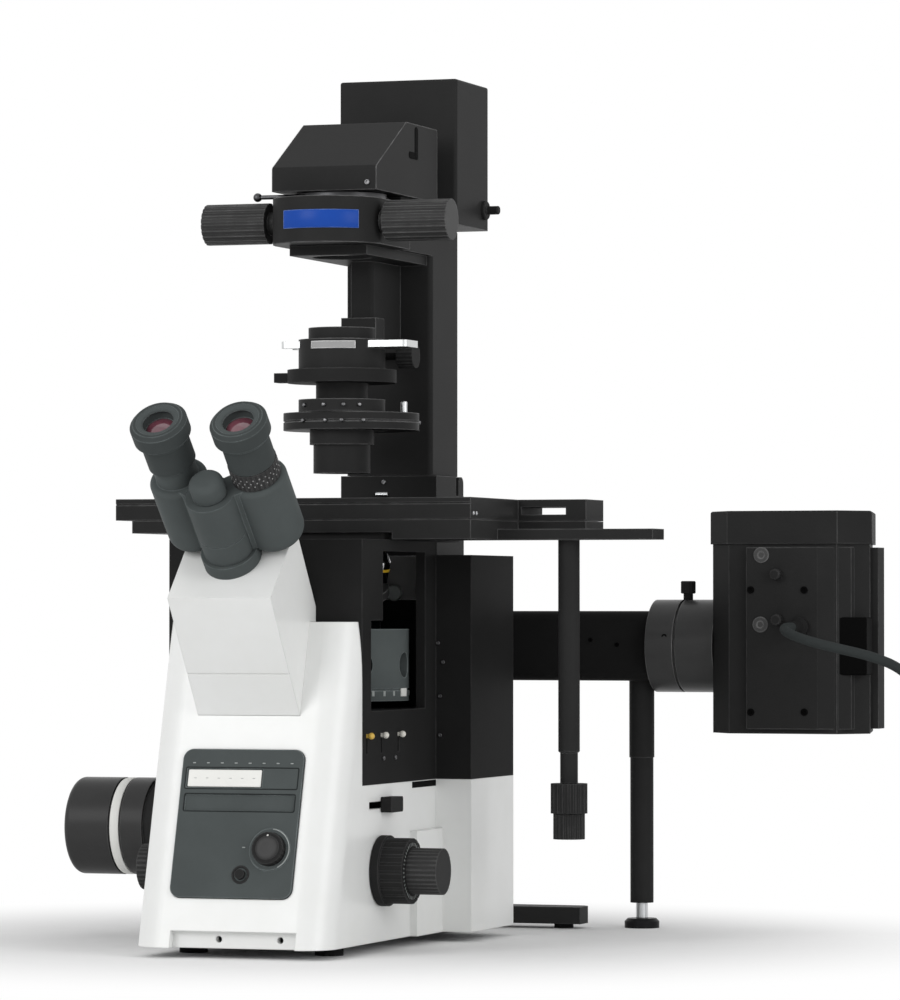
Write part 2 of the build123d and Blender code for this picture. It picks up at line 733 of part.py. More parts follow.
def coarse_focus():
    """Two ribbed coarse knobs on one hollow shaft across the housing."""
    inner = BODY_HALF_W + GAP
    shaft = rod("x", (FOCUS_Y, FOCUS_Z), (-inner - RIM_W, inner + RIM_W), COARSE_SHAFT_R)
    pieces = [shaft]
    for side in (-1, 1):
        rim = Pos(0, 0, RIM_W / 2) * Cylinder(RIM_R, RIM_W)
        grip = Pos(0, 0, RIM_W + COARSE_W / 2) * ribbed(COARSE_R, COARSE_W, COARSE_RIBS, 1.2)
        knob = fillet((rim + grip).edges().group_by(Axis.Z)[0], 1.0)
        pieces.append(Pos(side * inner, FOCUS_Y, FOCUS_Z) * Rot(0, 90 * side, 0) * knob)
    both = pieces[0] + pieces[1] + pieces[2]
    return both - rod("x", (FOCUS_Y, FOCUS_Z), (-2 * inner, 2 * inner), FINE_SHAFT_R + SHAFT_GAP)


def fine_focus():
    """Two fine knobs on the shaft that runs through the coarse one."""
    inner = BODY_HALF_W + GAP + RIM_W + COARSE_W + GAP
    shaft = rod("x", (FOCUS_Y, FOCUS_Z), (-inner, inner), FINE_SHAFT_R)
    for side, width in ((-1, FINE_LEFT_W), (1, FINE_W)):
        knob = Pos(0, 0, width / 2) * ribbed(FINE_R, width, FINE_RIBS, 0.5)
        shaft += Pos(side * inner, FOCUS_Y, FOCUS_Z) * Rot(0, 90 * side, 0) * knob
    return shaft


def objective_place(index):
    """The frame of one objective: its Z axis runs from the apex out through the nosepiece."""
    turn = Rot(0, 0, -60 * index)
    return nose_plane.location * turn * Rot(-NOSE_TILT, 0, 0)


def focus_carriage():
    """Sliding post behind the nosepiece with the ring that carries its bearing."""
    hub_low = NOSE_SEAT_L * math.cos(nose_rad) - NOSE_T - CARRIAGE_T - GAP
    hub_span = CARRIAGE_T + HUB_SOCKET
    hub = Cylinder(HUB_R, hub_span) - Cylinder(NOSE_PIN_R, hub_span)
    hub = Pos(0, 0, hub_low + CARRIAGE_T - hub_span / 2) * hub
    hub = nose_plane.location * hub
    post_y = (cavity_back_y + GAP, cavity_back_y + GAP + CARRIAGE_T)
    half = CARRIAGE_POST_W / 2
    arm_z = (TURRET_HIGH_Z + FOCUS_DROP + 1.0, TURRET_HIGH_Z + FOCUS_DROP + 7.0)
    post_z = (CAVITY_FLOOR_Z + FOCUS_DROP + 1.0, SHOULDER_TOP_Z - FOCUS_RISE - 1.0)
    post = block((-half, half), post_y, post_z)
    arm = block((-half, half), (-40.0, post_y[0] + 1), arm_z)
    hub = hub & block((-HUB_R, HUB_R), (-2 * half, half), (arm_z[0], SHOULDER_TOP_Z))
    light = rod("z", (0, 0), (arm_z[0] - 1, SHOULDER_TOP_Z), BEAM_R - 3)
    window = rod("y", (0, illum_z), post_y, BEAM_R - 2)
    return post + arm - light - window + hub


def nosepiece():
    """Revolving dish with six seats, each square to its own objective."""
    seat = NOSE_SEAT_L * math.cos(nose_rad)
    low, high = seat - NOSE_T, seat + 4.0
    dish = lathe([(0, low), (nose_r, low), (nose_r, seat - 5.0), (nose_r - NOSE_LIP, high), (0, high)])
    dish += Pos(0, 0, seat - NOSE_T - 4.0) * Cylinder(NOSE_PIN_R - SHAFT_GAP, 10.0)
    dish = nose_plane.location * dish
    for index in range(6):
        dish -= objective_place(index) * Pos(0, 0, NOSE_SEAT_L + 10.0) * Cylinder(OBJECTIVE_R + 1.5, 20.0)
        dish -= objective_place(index) * Pos(0, 0, NOSE_SEAT_L) * Cylinder(9.0, 60.0)
    return dish


def objectives():
    """Six objectives of different lengths, screwed to the nosepiece seats."""
    pieces = []
    for index, length in enumerate(OBJECTIVE_LENGTHS):
        shoulder = length * 0.62
        barrel = lathe(
            [
                (0, -6.0),
                (9.0 - GAP, -6.0),
                (9.0 - GAP, 0.0),
                (OBJECTIVE_R, 0.0),
                (OBJECTIVE_R, shoulder),
                (OBJECTIVE_TIP_R, length),
                (0, length),
            ]
        )
        pieces.append(objective_place(index) * Pos(0, 0, NOSE_SEAT_L) * barrel)
    return Compound(children=pieces)


def mirror_turret():
    """Drum with eight mirror-cube bays round a hub, with a stepped scale rim below."""
    height = TURRET_HIGH_Z - TURRET_LOW_Z
    drum = Cylinder(turret_r, height)
    groove = Cylinder(turret_r + 1, 1.6) - Cylinder(turret_r - 1.2, 1.6)
    drum -= Pos(0, 0, -height / 2 + TURRET_SCALE_H) * groove
    bay = Box(TURRET_BAY, TURRET_BAY, height - 12.0)
    drum -= PolarLocations(-TURRET_Y, TURRET_POSTS) * bay
    drum -= PolarLocations(-TURRET_Y, TURRET_POSTS) * Cylinder(BEAM_R - 7, height)
    side_hole = Rot(0, 90, 0) * Cylinder(BEAM_R - 7, 2 * (turret_r + TURRET_Y))
    drum -= PolarLocations(turret_r, TURRET_POSTS) * side_hole
    drum = Pos(0, TURRET_Y, (TURRET_LOW_Z + TURRET_HIGH_Z) / 2) * drum
    axle = rod("z", (0, TURRET_Y), (BODY_TOP_Z + TURRET_AXLE_LIFT, TURRET_LOW_Z + 1.0), TURRET_AXLE_R)
    return drum + axle


def tube_base_cover():
    """White nose that carries the viewing tube: flat seat above, overhanging face with a seam below."""
    seat = tube_plane.location
    brow = tube_plane.from_local_coords((0, -TUBE_COVER_FRONT, 0))
    crest = tube_plane.from_local_coords((0, TUBE_COVER_BACK, 0))
    back_y = DECK_FRONT_Y - GAP
    lean = (TUBE_COVER_LOW_Z - FOOT_H) * math.tan(front_lean)
    low_y = FRONT_TOE_Y + lean
    brow_y = FRONT_TOE_Y + (FRONT_TOP_Z - FOOT_H) * math.tan(front_lean)
    cover = side_slab(
        [
            (brow.Y, brow.Z),
            (crest.Y, crest.Z),
            (back_y, FRONT_TOP_Z + 12.0),
            (back_y, FRONT_TOP_Z),
            (brow_y, FRONT_TOP_Z),
            (low_y, TUBE_COVER_LOW_Z),
        ],
        TUBE_COVER_HALF_W,
    )
    slope = (low_y - brow.Y) / (brow.Z - TUBE_COVER_LOW_Z)
    seam_y = brow.Y + (brow.Z - TUBE_COVER_SEAM_Z) * slope
    cover -= rod("x", (seam_y, TUBE_COVER_SEAM_Z), (-TUBE_COVER_HALF_W, TUBE_COVER_HALF_W), 0.8)
    cover -= beam(BEAM_R)
    bore = Pos(0, 0, -TUBE_LENS_DEPTH / 2) * Cylinder(TUBE_LENS_R + SHAFT_GAP, TUBE_LENS_DEPTH)
    return cover - seat * bore


def tube_lens():
    """Tube lens seated on the shoulder under the viewing head."""
    place = tube_plane.location * Pos(0, 0, TUBE_LENS_T / 2 - TUBE_LENS_DEPTH)
    return place * Cylinder(TUBE_LENS_R, TUBE_LENS_T)


def binocular_mount():
    """Dark mounting flange, hinge pin and round cap of the viewing head."""
    length = TUBE_BODY_TOP + 2 * GAP
    flange = Pos(0, 0, FLANGE_T / 2) * Cylinder(FLANGE_R, FLANGE_T)
    pin = Pos(0, 0, length / 2) * Cylinder(HINGE_PIN_R, length)
    cap = Pos(0, 0, length + CAP_H / 2) * Cylinder(CAP_R, CAP_H)
    cap = fillet(cap.edges().group_by(Axis.Z)[-1], 6.0)
    return tube_plane.location * (flange + pin + cap)


def eye_centre(side):
    return (side * EYE_SPACING / 2, EYE_RISE)


def tube_half(side):
    """One half of the viewing head: prism housing, hinge knuckle and eyepiece sleeve."""
    x, y = eye_centre(side)
    low = FLANGE_T + GAP
    knuckle_z = (low, LOW_KNUCKLE_TOP) if side < 0 else (LOW_KNUCKLE_TOP + GAP, TUBE_BODY_TOP)
    height = TUBE_BODY_TOP - low
    spread = math.hypot(x, y)
    heading = math.degrees(math.atan2(y, x))
    bridge = Rot(0, 0, heading) * Pos(spread / 2, 0, 0) * Box(spread, BRIDGE_W, height)
    bridge = Pos(0, 0, low + height / 2) * bridge
    full = TUBE_BODY_TOP - TUBE_BODY_LOW
    barrel = Pos(x, y, TUBE_BODY_LOW + full / 2) * Cylinder(TUBE_BODY_R, full)
    rims = barrel.edges().filter_by(GeomType.CIRCLE).sort_by(Axis.Z)
    housing = fillet(rims[-1], 4.0)
    housing = fillet(housing.edges().filter_by(GeomType.CIRCLE).sort_by(Axis.Z)[0], TUBE_BODY_ROUND) + bridge
    housing -= Pos(0, 0, low + height / 2) * Cylinder(KNUCKLE_R + GAP, height)
    housing -= Pos(0, 0, low / 2) * Cylinder(FLANGE_R + GAP, low)
    middle = (knuckle_z[0] + knuckle_z[1]) / 2
    span = knuckle_z[1] - knuckle_z[0]
    joiner = Rot(0, 0, heading) * Pos(KNUCKLE_R, 0, middle) * Box(12.0, BRIDGE_W - 2.0, span)
    knuckle = Pos(0, 0, middle) * Cylinder(KNUCKLE_R, span) + joiner
    sleeve_h = SLEEVE_TOP - TUBE_BODY_TOP
    sleeve = Pos(x, y, TUBE_BODY_TOP + sleeve_h / 2) * Cylinder(SLEEVE_R, sleeve_h)
    half = housing + knuckle + sleeve
    half -= Pos(0, 0, middle) * Cylinder(HINGE_PIN_R + SHAFT_GAP, 2 * height)
    half -= Pos(x, y, SLEEVE_TOP - 12.5) * Cylinder(EYEPIECE_STEM_R + SHAFT_GAP, 25.0)
    return tube_plane.location * half


def eyepiece(side):
    """Wide-field eyepiece: stem in the sleeve, barrel, rubber eyecup with a hollow and the eye lens."""
    cup = EYE_TOP - EYECUP_H
    neck = cup - 3.0
    profile = [
        (0, SLEEVE_TOP - 22.0),
        (EYEPIECE_STEM_R, SLEEVE_TOP - 22.0),
        (EYEPIECE_STEM_R, SLEEVE_TOP),
        (EYEPIECE_BODY_R, SLEEVE_TOP),
        (EYEPIECE_BODY_R, neck),
        (EYEPIECE_BODY_R + 1.6, neck),
        (EYEPIECE_BODY_R + 1.6, cup),
        (EYECUP_R, cup),
        (EYECUP_R, EYE_TOP - 3.0),
        (EYECUP_R - 3.0, EYE_TOP),
        (EYE_LENS_R + 5.0, EYE_TOP),
        (EYE_LENS_R, EYE_TOP - 9.0),
        (0, EYE_TOP - 9.0),
    ]
    return tube_plane.location * Pos(*eye_centre(side), 0) * lathe(profile)


def diopter_ring():
    """Ribbed focusing ring round the right eyepiece sleeve."""
    span = SLEEVE_TOP - TUBE_BODY_TOP - 2 * GAP
    ring = ribbed(DIOPTER_R, span, 30, 0.6) - Cylinder(SLEEVE_R + SHAFT_GAP, span)
    return tube_plane.location * Pos(*eye_centre(1), TUBE_BODY_TOP + GAP + span / 2) * ring


def side_port():
    """Tube and flange that carry the camera at the height of the side beam."""
    wall_x = -BODY_HALF_W
    tube = rod("x", (0, PORT_Z), (CAMERA_START_X, wall_x), PORT_TUBE_R)
    flange = rod("x", (0, PORT_Z), (CAMERA_START_X, CAMERA_START_X + PORT_FLANGE_T), PORT_FLANGE_R)
    collar = rod("x", (0, PORT_Z), (wall_x - PORT_FLANGE_T, wall_x), PORT_FLANGE_R)
    return tube + flange + collar - rod("x", (0, PORT_Z), (CAMERA_START_X, wall_x), BEAM_R)


def camera_body():
    """Round camera with a groove for its band and a rounded end."""
    end_x = CAMERA_START_X - CAMERA_L
    body = rod("x", (0, PORT_Z), (end_x, CAMERA_START_X), CAMERA_R)
    body = fillet(body.edges().group_by(Axis.X)[0], CAMERA_ROUND)
    band_x = CAMERA_START_X - CAMERA_BAND_X
    groove = rod("x", (0, PORT_Z), (band_x - CAMERA_BAND_W, band_x), CAMERA_R + 1)
    groove -= rod("x", (0, PORT_Z), (band_x - CAMERA_BAND_W, band_x), CAMERA_R - 2.0)
    return body - groove


def stage_base():
    """Fixed stage base with the large opening for the objectives."""
    plate = block(
        (-stage_base_half_w, stage_base_half_w),
        (STAGE_FRONT_Y + 4.0, STAGE_BACK_Y),
        (DECK_TOP_Z, DECK_TOP_Z + STAGE_BASE_T),
    )
    plate = fillet([e for e in plate.edges().filter_by(Axis.Z) if e.center().Y < 0], 5.0)
    hole_x = (-stage_hole_half_w, stage_hole_half_w)
    return plate - block(hole_x, (STAGE_HOLE_FRONT_Y, STAGE_HOLE_BACK_Y), (DECK_TOP_Z, y_plate_low_z))


def stage_y_plate():
    """Y plate: frame under the X plate, side skirt, X guide, and the drive arm with its hanging tube."""
    high = y_plate_low_z + Y_PLATE_T
    plate = block((Y_PLATE_LEFT_X, STAGE_RIGHT_X), (STAGE_FRONT_Y, STAGE_BACK_Y), (y_plate_low_z, high))
    hole_x = (-stage_hole_half_w - 4.0, stage_hole_half_w + 4.0)
    plate -= block(hole_x, (STAGE_HOLE_FRONT_Y - 4.0, STAGE_HOLE_BACK_Y + 4.0), (y_plate_low_z, high))
    skirt_low = DECK_TOP_Z + GAP
    skirt_x = (stage_base_half_w + SKIRT_SPACE, STAGE_RIGHT_X)
    arm_y = (ARM_Y - ARM_W / 2, ARM_Y + ARM_W / 2)
    plate += block(skirt_x, (STAGE_FRONT_Y, arm_y[1]), (skirt_low, y_plate_low_z + 1))
    plate += block((skirt_x[0], ARM_RIGHT_X), arm_y, (skirt_low, skirt_low + ARM_T))
    guide_y = (GUIDE_Y - GUIDE_W / 2, GUIDE_Y + GUIDE_W / 2)
    plate += block((STAGE_RIGHT_X - 1, GUIDE_RIGHT_X), guide_y, (skirt_low + ARM_T + 0.8, high))
    neck_top = HANDLE_LOW_Z + HANDLE_NECK_L
    tube = rod("z", (HANDLE_X, ARM_Y), (neck_top, skirt_low + 1), HANDLE_R)
    tube = chamfer(tube.edges().group_by(Axis.Z)[0], 1.0)
    tube += rod("z", (HANDLE_X, ARM_Y), (HANDLE_LOW_Z, neck_top), HANDLE_NECK_R)
    return plate + tube - rod("z", (HANDLE_X, ARM_Y), (HANDLE_LOW_Z, skirt_low), KNOB_STEM_R + SHAFT_GAP)


def stage_y_knob():
    """Upper drive knob: moves the specimen to and fro."""
    high = HANDLE_LOW_Z - GAP
    knob = Pos(HANDLE_X, ARM_Y, high - Y_KNOB_H / 2) * ribbed(Y_KNOB_R, Y_KNOB_H, STAGE_KNOB_RIBS, 1.0)
    return knob - rod("z", (HANDLE_X, ARM_Y), (high - Y_KNOB_H, high), KNOB_STEM_R + SHAFT_GAP)


def stage_x_knob():
    """Lower drive knob, on the stem through the upper one: moves the specimen sideways."""
    high = HANDLE_LOW_Z - 2 * GAP - Y_KNOB_H
    knob = Pos(HANDLE_X, ARM_Y, high - X_KNOB_H / 2) * ribbed(X_KNOB_R, X_KNOB_H, STAGE_KNOB_RIBS, 0.9)
    return knob + rod("z", (HANDLE_X, ARM_Y), (high - 1.0, HANDLE_LOW_Z + KNOB_STEM_L), KNOB_STEM_R)


def stage_x_plate():
    """Top plate with a stepped round opening and a thin tongue over the X guide."""
    plate = block((STAGE_LEFT_X, STAGE_RIGHT_X), (STAGE_FRONT_Y, STAGE_BACK_Y), (x_plate_low_z, stage_top_z))
    groove_z = (stage_top_z - 5.0, stage_top_z - 4.0)
    plate -= block((STAGE_LEFT_X, STAGE_RIGHT_X), (STAGE_FRONT_Y, STAGE_FRONT_Y + 1.0), groove_z)
    tongue_y = (GUIDE_Y - GUIDE_W / 2, GUIDE_Y + GUIDE_W / 2)
    plate += block((STAGE_RIGHT_X - 1, GUIDE_RIGHT_X), tongue_y, (x_plate_low_z, stage_top_z))
    plate -= block(TONGUE_SLOT_X, tongue_y, (stage_top_z - X_PLATE_WEB_T, stage_top_z - X_PLATE_WEB_T / 2))
    plate -= block(
        (STAGE_LEFT_X + X_PLATE_RIM, STAGE_RIGHT_X - X_PLATE_RIM),
        (STAGE_FRONT_Y + X_PLATE_RIM, STAGE_BACK_Y - X_PLATE_RIM),
        (x_plate_low_z, stage_top_z - X_PLATE_WEB_T),
    )
    plate -= rod("z", (0, 0), (x_plate_low_z, stage_top_z), INSERT_R - INSERT_SHELF)
    return plate - rod("z", (0, 0), (stage_top_z - INSERT_T, stage_top_z), INSERT_R + GAP)


def stage_insert():
    """Round specimen insert, flush with the stage, with a well for a small culture dish."""
    low = stage_top_z - DISH_DEPTH - DISH_FLOOR_T
    disc = rod("z", (0, 0), (stage_top_z - INSERT_T, stage_top_z), INSERT_R)
    well = rod("z", (0, 0), (low, stage_top_z), DISH_R + DISH_WELL_WALL)
    insert = disc + well - rod("z", (0, 0), (low + DISH_FLOOR_T, stage_top_z), DISH_R)
    return insert - rod("z", (0, 0), (low, stage_top_z), DISH_SIGHT_R)


def pillar_base():
    """Foot of the lamp pillar on the frame's tail, with ears and the pin that the pillar tilts on."""
    high = PILLAR_LOW_Z - GAP
    width = (-PILLAR_BASE_HALF_W, PILLAR_BASE_HALF_W)
    foot = block(width, (PILLAR_FRONT_Y, pillar_back_y), (SHOULDER_TOP_Z, high - 16.0))
    foot += block(width, (PILLAR_FRONT_Y, pillar_pin_y - 13.0), (high - 17.0, high))
    half = KNUCKLE_HALF_W + GAP
    boss_r = PILLAR_PIN_R + 2.0
    for ear_x in ((-PILLAR_BASE_HALF_W, -half), (half, PILLAR_BASE_HALF_W)):
        foot += rod("x", (pillar_pin_y, pillar_pin_z), ear_x, boss_r)
        foot += block(ear_x, (pillar_pin_y - boss_r, pillar_pin_y + boss_r), (high - 17.0, pillar_pin_z))
    pin = rod("x", (pillar_pin_y, pillar_pin_z), (-PILLAR_BASE_HALF_W, PILLAR_BASE_HALF_W), PILLAR_PIN_R)
    return foot + pin


def pillar():
    """Tilting column with the condenser rail, the arm over the specimen and the hinge knuckle."""
    width = (-PILLAR_HALF_W, PILLAR_HALF_W)
    column = block(width, (PILLAR_FRONT_Y, pillar_back_y), (PILLAR_LOW_Z, PILLAR_HIGH_Z))
    column = upright_fillet(column, PILLAR_CORNER_R)
    arm_low = ARM_LOW_Z + ARM_PLATE_T
    arm = block(width, (DRUM_Y + DRUM_R + 22.0, PILLAR_FRONT_Y + 20.0), (arm_low, DRUM_HIGH_Z + 6.0))
    plate_x = (-ARM_PLATE_HALF_W, ARM_PLATE_HALF_W)
    plate = block(plate_x, (ARM_PLATE_FRONT_Y, PILLAR_FRONT_Y + 1), (ARM_LOW_Z, arm_low))
    plate -= rod("z", (0, 0), (ARM_LOW_Z, arm_low), FIELD_LENS_R - 3.0)
    rail_x = (-RAIL_HALF_W, RAIL_HALF_W)
    rail = block(rail_x, (RAIL_FRONT_Y, PILLAR_FRONT_Y + 1), (RAIL_LOW_Z, ARM_LOW_Z + 1))
    rail = fillet([e for e in rail.edges().filter_by(Axis.Z) if e.center().Y < RAIL_FRONT_Y + 1], 4.0)
    boss_r = PILLAR_PIN_R + 2.0
    knuckle_x = (-KNUCKLE_HALF_W, KNUCKLE_HALF_W)
    knuckle = rod("x", (pillar_pin_y, pillar_pin_z), knuckle_x, boss_r)
    boss_y = (pillar_pin_y - boss_r, pillar_pin_y + boss_r)
    knuckle += block(knuckle_x, boss_y, (pillar_pin_z, PILLAR_LOW_Z + 1))
    shape = column + arm + plate + rail + knuckle
    return shape - rod("x", (pillar_pin_y, pillar_pin_z), width, PILLAR_PIN_R + SHAFT_GAP)


def lens_drum():
    """Round-fronted housing of the field lens under the lamp head, with an inner lens seat."""
    back = DRUM_Y + DRUM_R + 22.0
    low = ARM_LOW_Z + ARM_PLATE_T
    drum = rod("z", (0, DRUM_Y), (low, DRUM_HIGH_Z), DRUM_R)
    drum += block((-DRUM_R, DRUM_R), (DRUM_Y, back), (low, DRUM_HIGH_Z))
    drum -= rod("z", (0, 0), (low, low + FIELD_LENS_T), FIELD_LENS_R + SHAFT_GAP)
    return drum - rod("z", (0, 0), (low, DRUM_HIGH_Z), FIELD_LENS_R - 3.0)


def tilt_grips():
    """Two ribbed grips on the drum's sides, by which the pillar is tilted back."""
    grips = []
    for side in (-1, 1):
        neck = Pos(0, 0, GRIP_NECK_L / 2) * Cylinder(GRIP_NECK_R, GRIP_NECK_L)
        grip = Pos(0, 0, GRIP_NECK_L + GRIP_L / 2) * ribbed(GRIP_R, GRIP_L, GRIP_RIBS, 1.2)
        place = Pos(side * DRUM_R, DRUM_Y, (ARM_LOW_Z + ARM_PLATE_T + DRUM_HIGH_Z) / 2)
        grips.append(place * Rot(0, 90 * side, 0) * (neck + grip))
    return Compound(children=grips)


def head_housing():
    """Mirror housing over the drum: a box whose front slopes back, with a tunnel for the lamp."""
    head = side_slab(
        [
            (HEAD_FRONT_Y, head_low_z),
            (HEAD_BACK_Y, head_low_z),
            (HEAD_BACK_Y, head_high_z),
            (HEAD_CREST_Y, head_high_z),
            (HEAD_FRONT_Y, head_brow_z),
        ],
        HEAD_HALF_W,
    )
    head = fillet([e for e in head.edges().filter_by(Axis.X) if e.center().Z > head_brow_z - 1], 3.0)
    bore_r = LAMP_COLLAR_R - 4.0
    head -= rod("y", (0, lamp_beam_z), (bore_r * 0.75, HEAD_BACK_Y), bore_r)
    head -= rod("z", (0, 0), (head_low_z, lamp_beam_z), bore_r)
    return head


def lamp_house():
    """Lamp box behind the head, hollow, joined to it by a round collar."""
    house = block((-LAMP_HALF_W, LAMP_HALF_W), (LAMP_FRONT_Y, LAMP_BACK_Y), (LAMP_LOW_Z, LAMP_HIGH_Z))
    house = upright_fillet(house, LAMP_CORNER_R)
    house = fillet(house.faces().sort_by(Axis.Z)[-1].edges(), 2.0)
    wall = 4.0
    house -= block(
        (-LAMP_HALF_W + wall, LAMP_HALF_W - wall),
        (LAMP_FRONT_Y + wall, LAMP_BACK_Y - wall),
        (LAMP_LOW_Z + wall, LAMP_HIGH_Z - wall),
    )
    house += rod("y", (0, lamp_beam_z), (HEAD_BACK_Y, LAMP_FRONT_Y + 1), LAMP_COLLAR_R)
    house -= rod("y", (0, lamp_beam_z), (HEAD_BACK_Y, LAMP_FRONT_Y + wall), LAMP_COLLAR_R - 4.0)
    return house


def lamp_bulb():
    """Lamp on its socket post, standing on the floor of the lamp box."""
    middle_y = (LAMP_FRONT_Y + LAMP_BACK_Y) / 2
    floor = LAMP_LOW_Z + 4.0
    socket = rod("z", (0, middle_y), (floor, lamp_beam_z - 12.0), 11.0)
    return socket + rod("z", (0, middle_y), (lamp_beam_z - 13.0, lamp_beam_z + 12.0), 6.0)


def field_iris():
    """Field stop ring between drum and head, with a ball-ended lever to the left."""
    low = DRUM_HIGH_Z + GAP
    high = head_low_z - GAP
    ring = rod("z", (0, 0), (low, high), IRIS_RING_R) - rod("z", (0, 0), (low, high), LAMP_COLLAR_R - 4.0)
    lever = rod("x", (HEAD_FRONT_Y + 14.0, (low + high) / 2), (-IRIS_LEVER_L, 0), 1.8)
    lever -= rod("z", (0, 0), (low, high), IRIS_RING_R - 2.0)
    return ring + lever + Pos(-IRIS_LEVER_L, HEAD_FRONT_Y + 14.0, (low + high) / 2) * Sphere(IRIS_BALL_R)


def condenser_holder():
    """Condenser head: round block with the slider tunnel and a dovetail carriage on the rail."""
    high = cond_head_z + COND_HEAD_H
    head = rod("z", (0, 0), (cond_head_z, high), COND_HEAD_R)
    head += rod("z", (0, 0), (high, high + COND_CAP_H), COND_CAP_R)
    carriage_x = (-RAIL_HALF_W - CARRIAGE_WALL, RAIL_HALF_W + CARRIAGE_WALL)
    reach = high + COND_SADDLE
    carriage = block(carriage_x, (0, RAIL_FRONT_Y + 14.0), (cond_head_z, high))
    carriage += block(carriage_x, (RAIL_FRONT_Y - SADDLE_FRONT, RAIL_FRONT_Y + 14.0), (high - 1, reach))
    clear_x = (-RAIL_HALF_W - GAP, RAIL_HALF_W + GAP)
    carriage -= block(clear_x, (RAIL_FRONT_Y - GAP, RAIL_FRONT_Y + 14.0), (cond_head_z, reach))
    head += carriage
    tunnel = SLIDER_W / 2 + GAP
    slot_z = (slider_z - GAP, slider_z + SLIDER_H + GAP)
    head -= block((-COND_HEAD_R, COND_HEAD_R), (-tunnel - 4.0, tunnel - 4.0), slot_z)
    head -= rod("z", (0, 0), (cond_head_z, high + COND_CAP_H), 13.0)
    knob_z = cond_head_z + COND_KNOB_RISE
    return head - rod("x", (RAIL_FRONT_Y - 10.0, knob_z), (0, 2 * RAIL_HALF_W), 3.0 + SHAFT_GAP)


def condenser_optics():
    """Condenser barrel: neck through the iris, small deck, turret axle and the nose with the front lens."""
    collar_low = COND_LOW_Z + COND_NOSE_H
    nose = rod("z", (0, 0), (COND_LOW_Z, collar_low), COND_NOSE_R)
    nose += rod("z", (0, 0), (collar_low, turret_low_z - GAP), COND_COLLAR_R)
    neck = rod("z", (0, 0), (cond_neck_z, cond_head_z), COND_NECK_R)
    deck = rod("z", (0, 0), (cond_deck_z, cond_neck_z), COND_DECK_R)
    sight = rod("z", (0, 0), (COND_LOW_Z, cond_head_z), COND_SIGHT_R)
    axle = rod("z", (0, COND_TURRET_Y), (collar_low + 2.0, cond_deck_z + 1), COND_AXLE_R)
    return nose + neck + deck - sight + axle


def condenser_turret():
    """Turning disc with five optical stops, one of them over the front lens."""
    disc = Cylinder(COND_TURRET_R, COND_TURRET_H) - Cylinder(COND_AXLE_R + SHAFT_GAP, COND_TURRET_H)
    disc -= Cylinder(COND_TURRET_R + 1, 1.2) - Cylinder(COND_TURRET_R - 1.0, 1.2)
    disc -= PolarLocations(COND_TURRET_Y, 5, start_angle=-90) * Cylinder(9.0, COND_TURRET_H)
    return Pos(0, COND_TURRET_Y, turret_low_z + COND_TURRET_H / 2) * disc


def aperture_ring():
    """Aperture stop ring round the neck with a finger lever to the left."""
    low = cond_iris_z + GAP
    high = cond_iris_z + COND_IRIS_H
    ring = rod("z", (0, 0), (low, high), COND_IRIS_R)
    lever_x = (-COND_IRIS_R - COND_IRIS_LEVER, -COND_IRIS_R + 6.0)
    ring += block(lever_x, (-7.0, 7.0), (low + 1.0, high - 2.0))
    return ring - rod("z", (0, 0), (low, high), COND_NECK_R + SHAFT_GAP)


def polarizer_slider():
    """Flat metal slider through the condenser head, with one clear and one filtered opening."""
    slider_x = (-SLIDER_L / 2 + SLIDER_SHIFT, SLIDER_L / 2 + SLIDER_SHIFT)
    slider_y = (-SLIDER_W / 2 - 4.0, SLIDER_W / 2 - 4.0)
    slider = upright_fillet(block(slider_x, slider_y, (slider_z, slider_z + SLIDER_H)), 4.0)
    for x in (0, -SLIDER_TRAVEL):
        slider -= rod("z", (x, 0), (slider_z, slider_z + SLIDER_H), 10.0)
    return slider


def condenser_knob():
    """Height knob of the condenser, on its pinion stem in the carriage."""
    centre = (RAIL_FRONT_Y - 10.0, cond_head_z + COND_KNOB_RISE)
    root = RAIL_HALF_W - 4.0
    start = COND_HEAD_R + 2.0
    knob = Pos(start + COND_KNOB_L / 2, *centre) * Rot(0, 90, 0) * ribbed(COND_KNOB_R, COND_KNOB_L, 20, 0.6)
    return knob + rod("x", centre, (root, start + 1), 3.0)


def illuminator_tube():
    """L-shaped tube behind the frame that leads the lamp light to the mirror turret."""
    tube = block(
        (ILLUM_LEFT_X, ILLUM_RIGHT_X),
        (ILLUM_Y - ILLUM_W / 2, ILLUM_Y + ILLUM_W / 2),
        (ILLUM_LOW_Z, ILLUM_HIGH_Z),
    )
    tube = fillet(tube.edges().filter_by(Axis.X), ILLUM_CORNER_R)
    front = rod("y", (0, illum_z), (TAIL_BACK_Y, ILLUM_Y), COUPLING_R - 12.0)
    tube += front
    tube -= rod("y", (0, illum_z), (TAIL_BACK_Y, ILLUM_Y), BEAM_R)
    return tube - rod("x", (ILLUM_Y, illum_z), (0, ILLUM_RIGHT_X), BEAM_R)


def lamp_coupling():
    """Split clamping ring between the tube and the lamp housing."""
    ring = rod("x", (ILLUM_Y, illum_z), (ILLUM_RIGHT_X, arc_left_x + ARC_STEP), COUPLING_R)
    slit_x = ILLUM_RIGHT_X + COUPLING_L * 0.42
    slit = rod("x", (ILLUM_Y, illum_z), (slit_x, slit_x + COUPLING_SLIT), COUPLING_R + 1)
    slit -= rod("x", (ILLUM_Y, illum_z), (slit_x, slit_x + COUPLING_SLIT), COUPLING_R - 2.5)
    return ring - slit - rod("x", (ILLUM_Y, illum_z), (ILLUM_RIGHT_X, arc_left_x + ARC_STEP), BEAM_R)


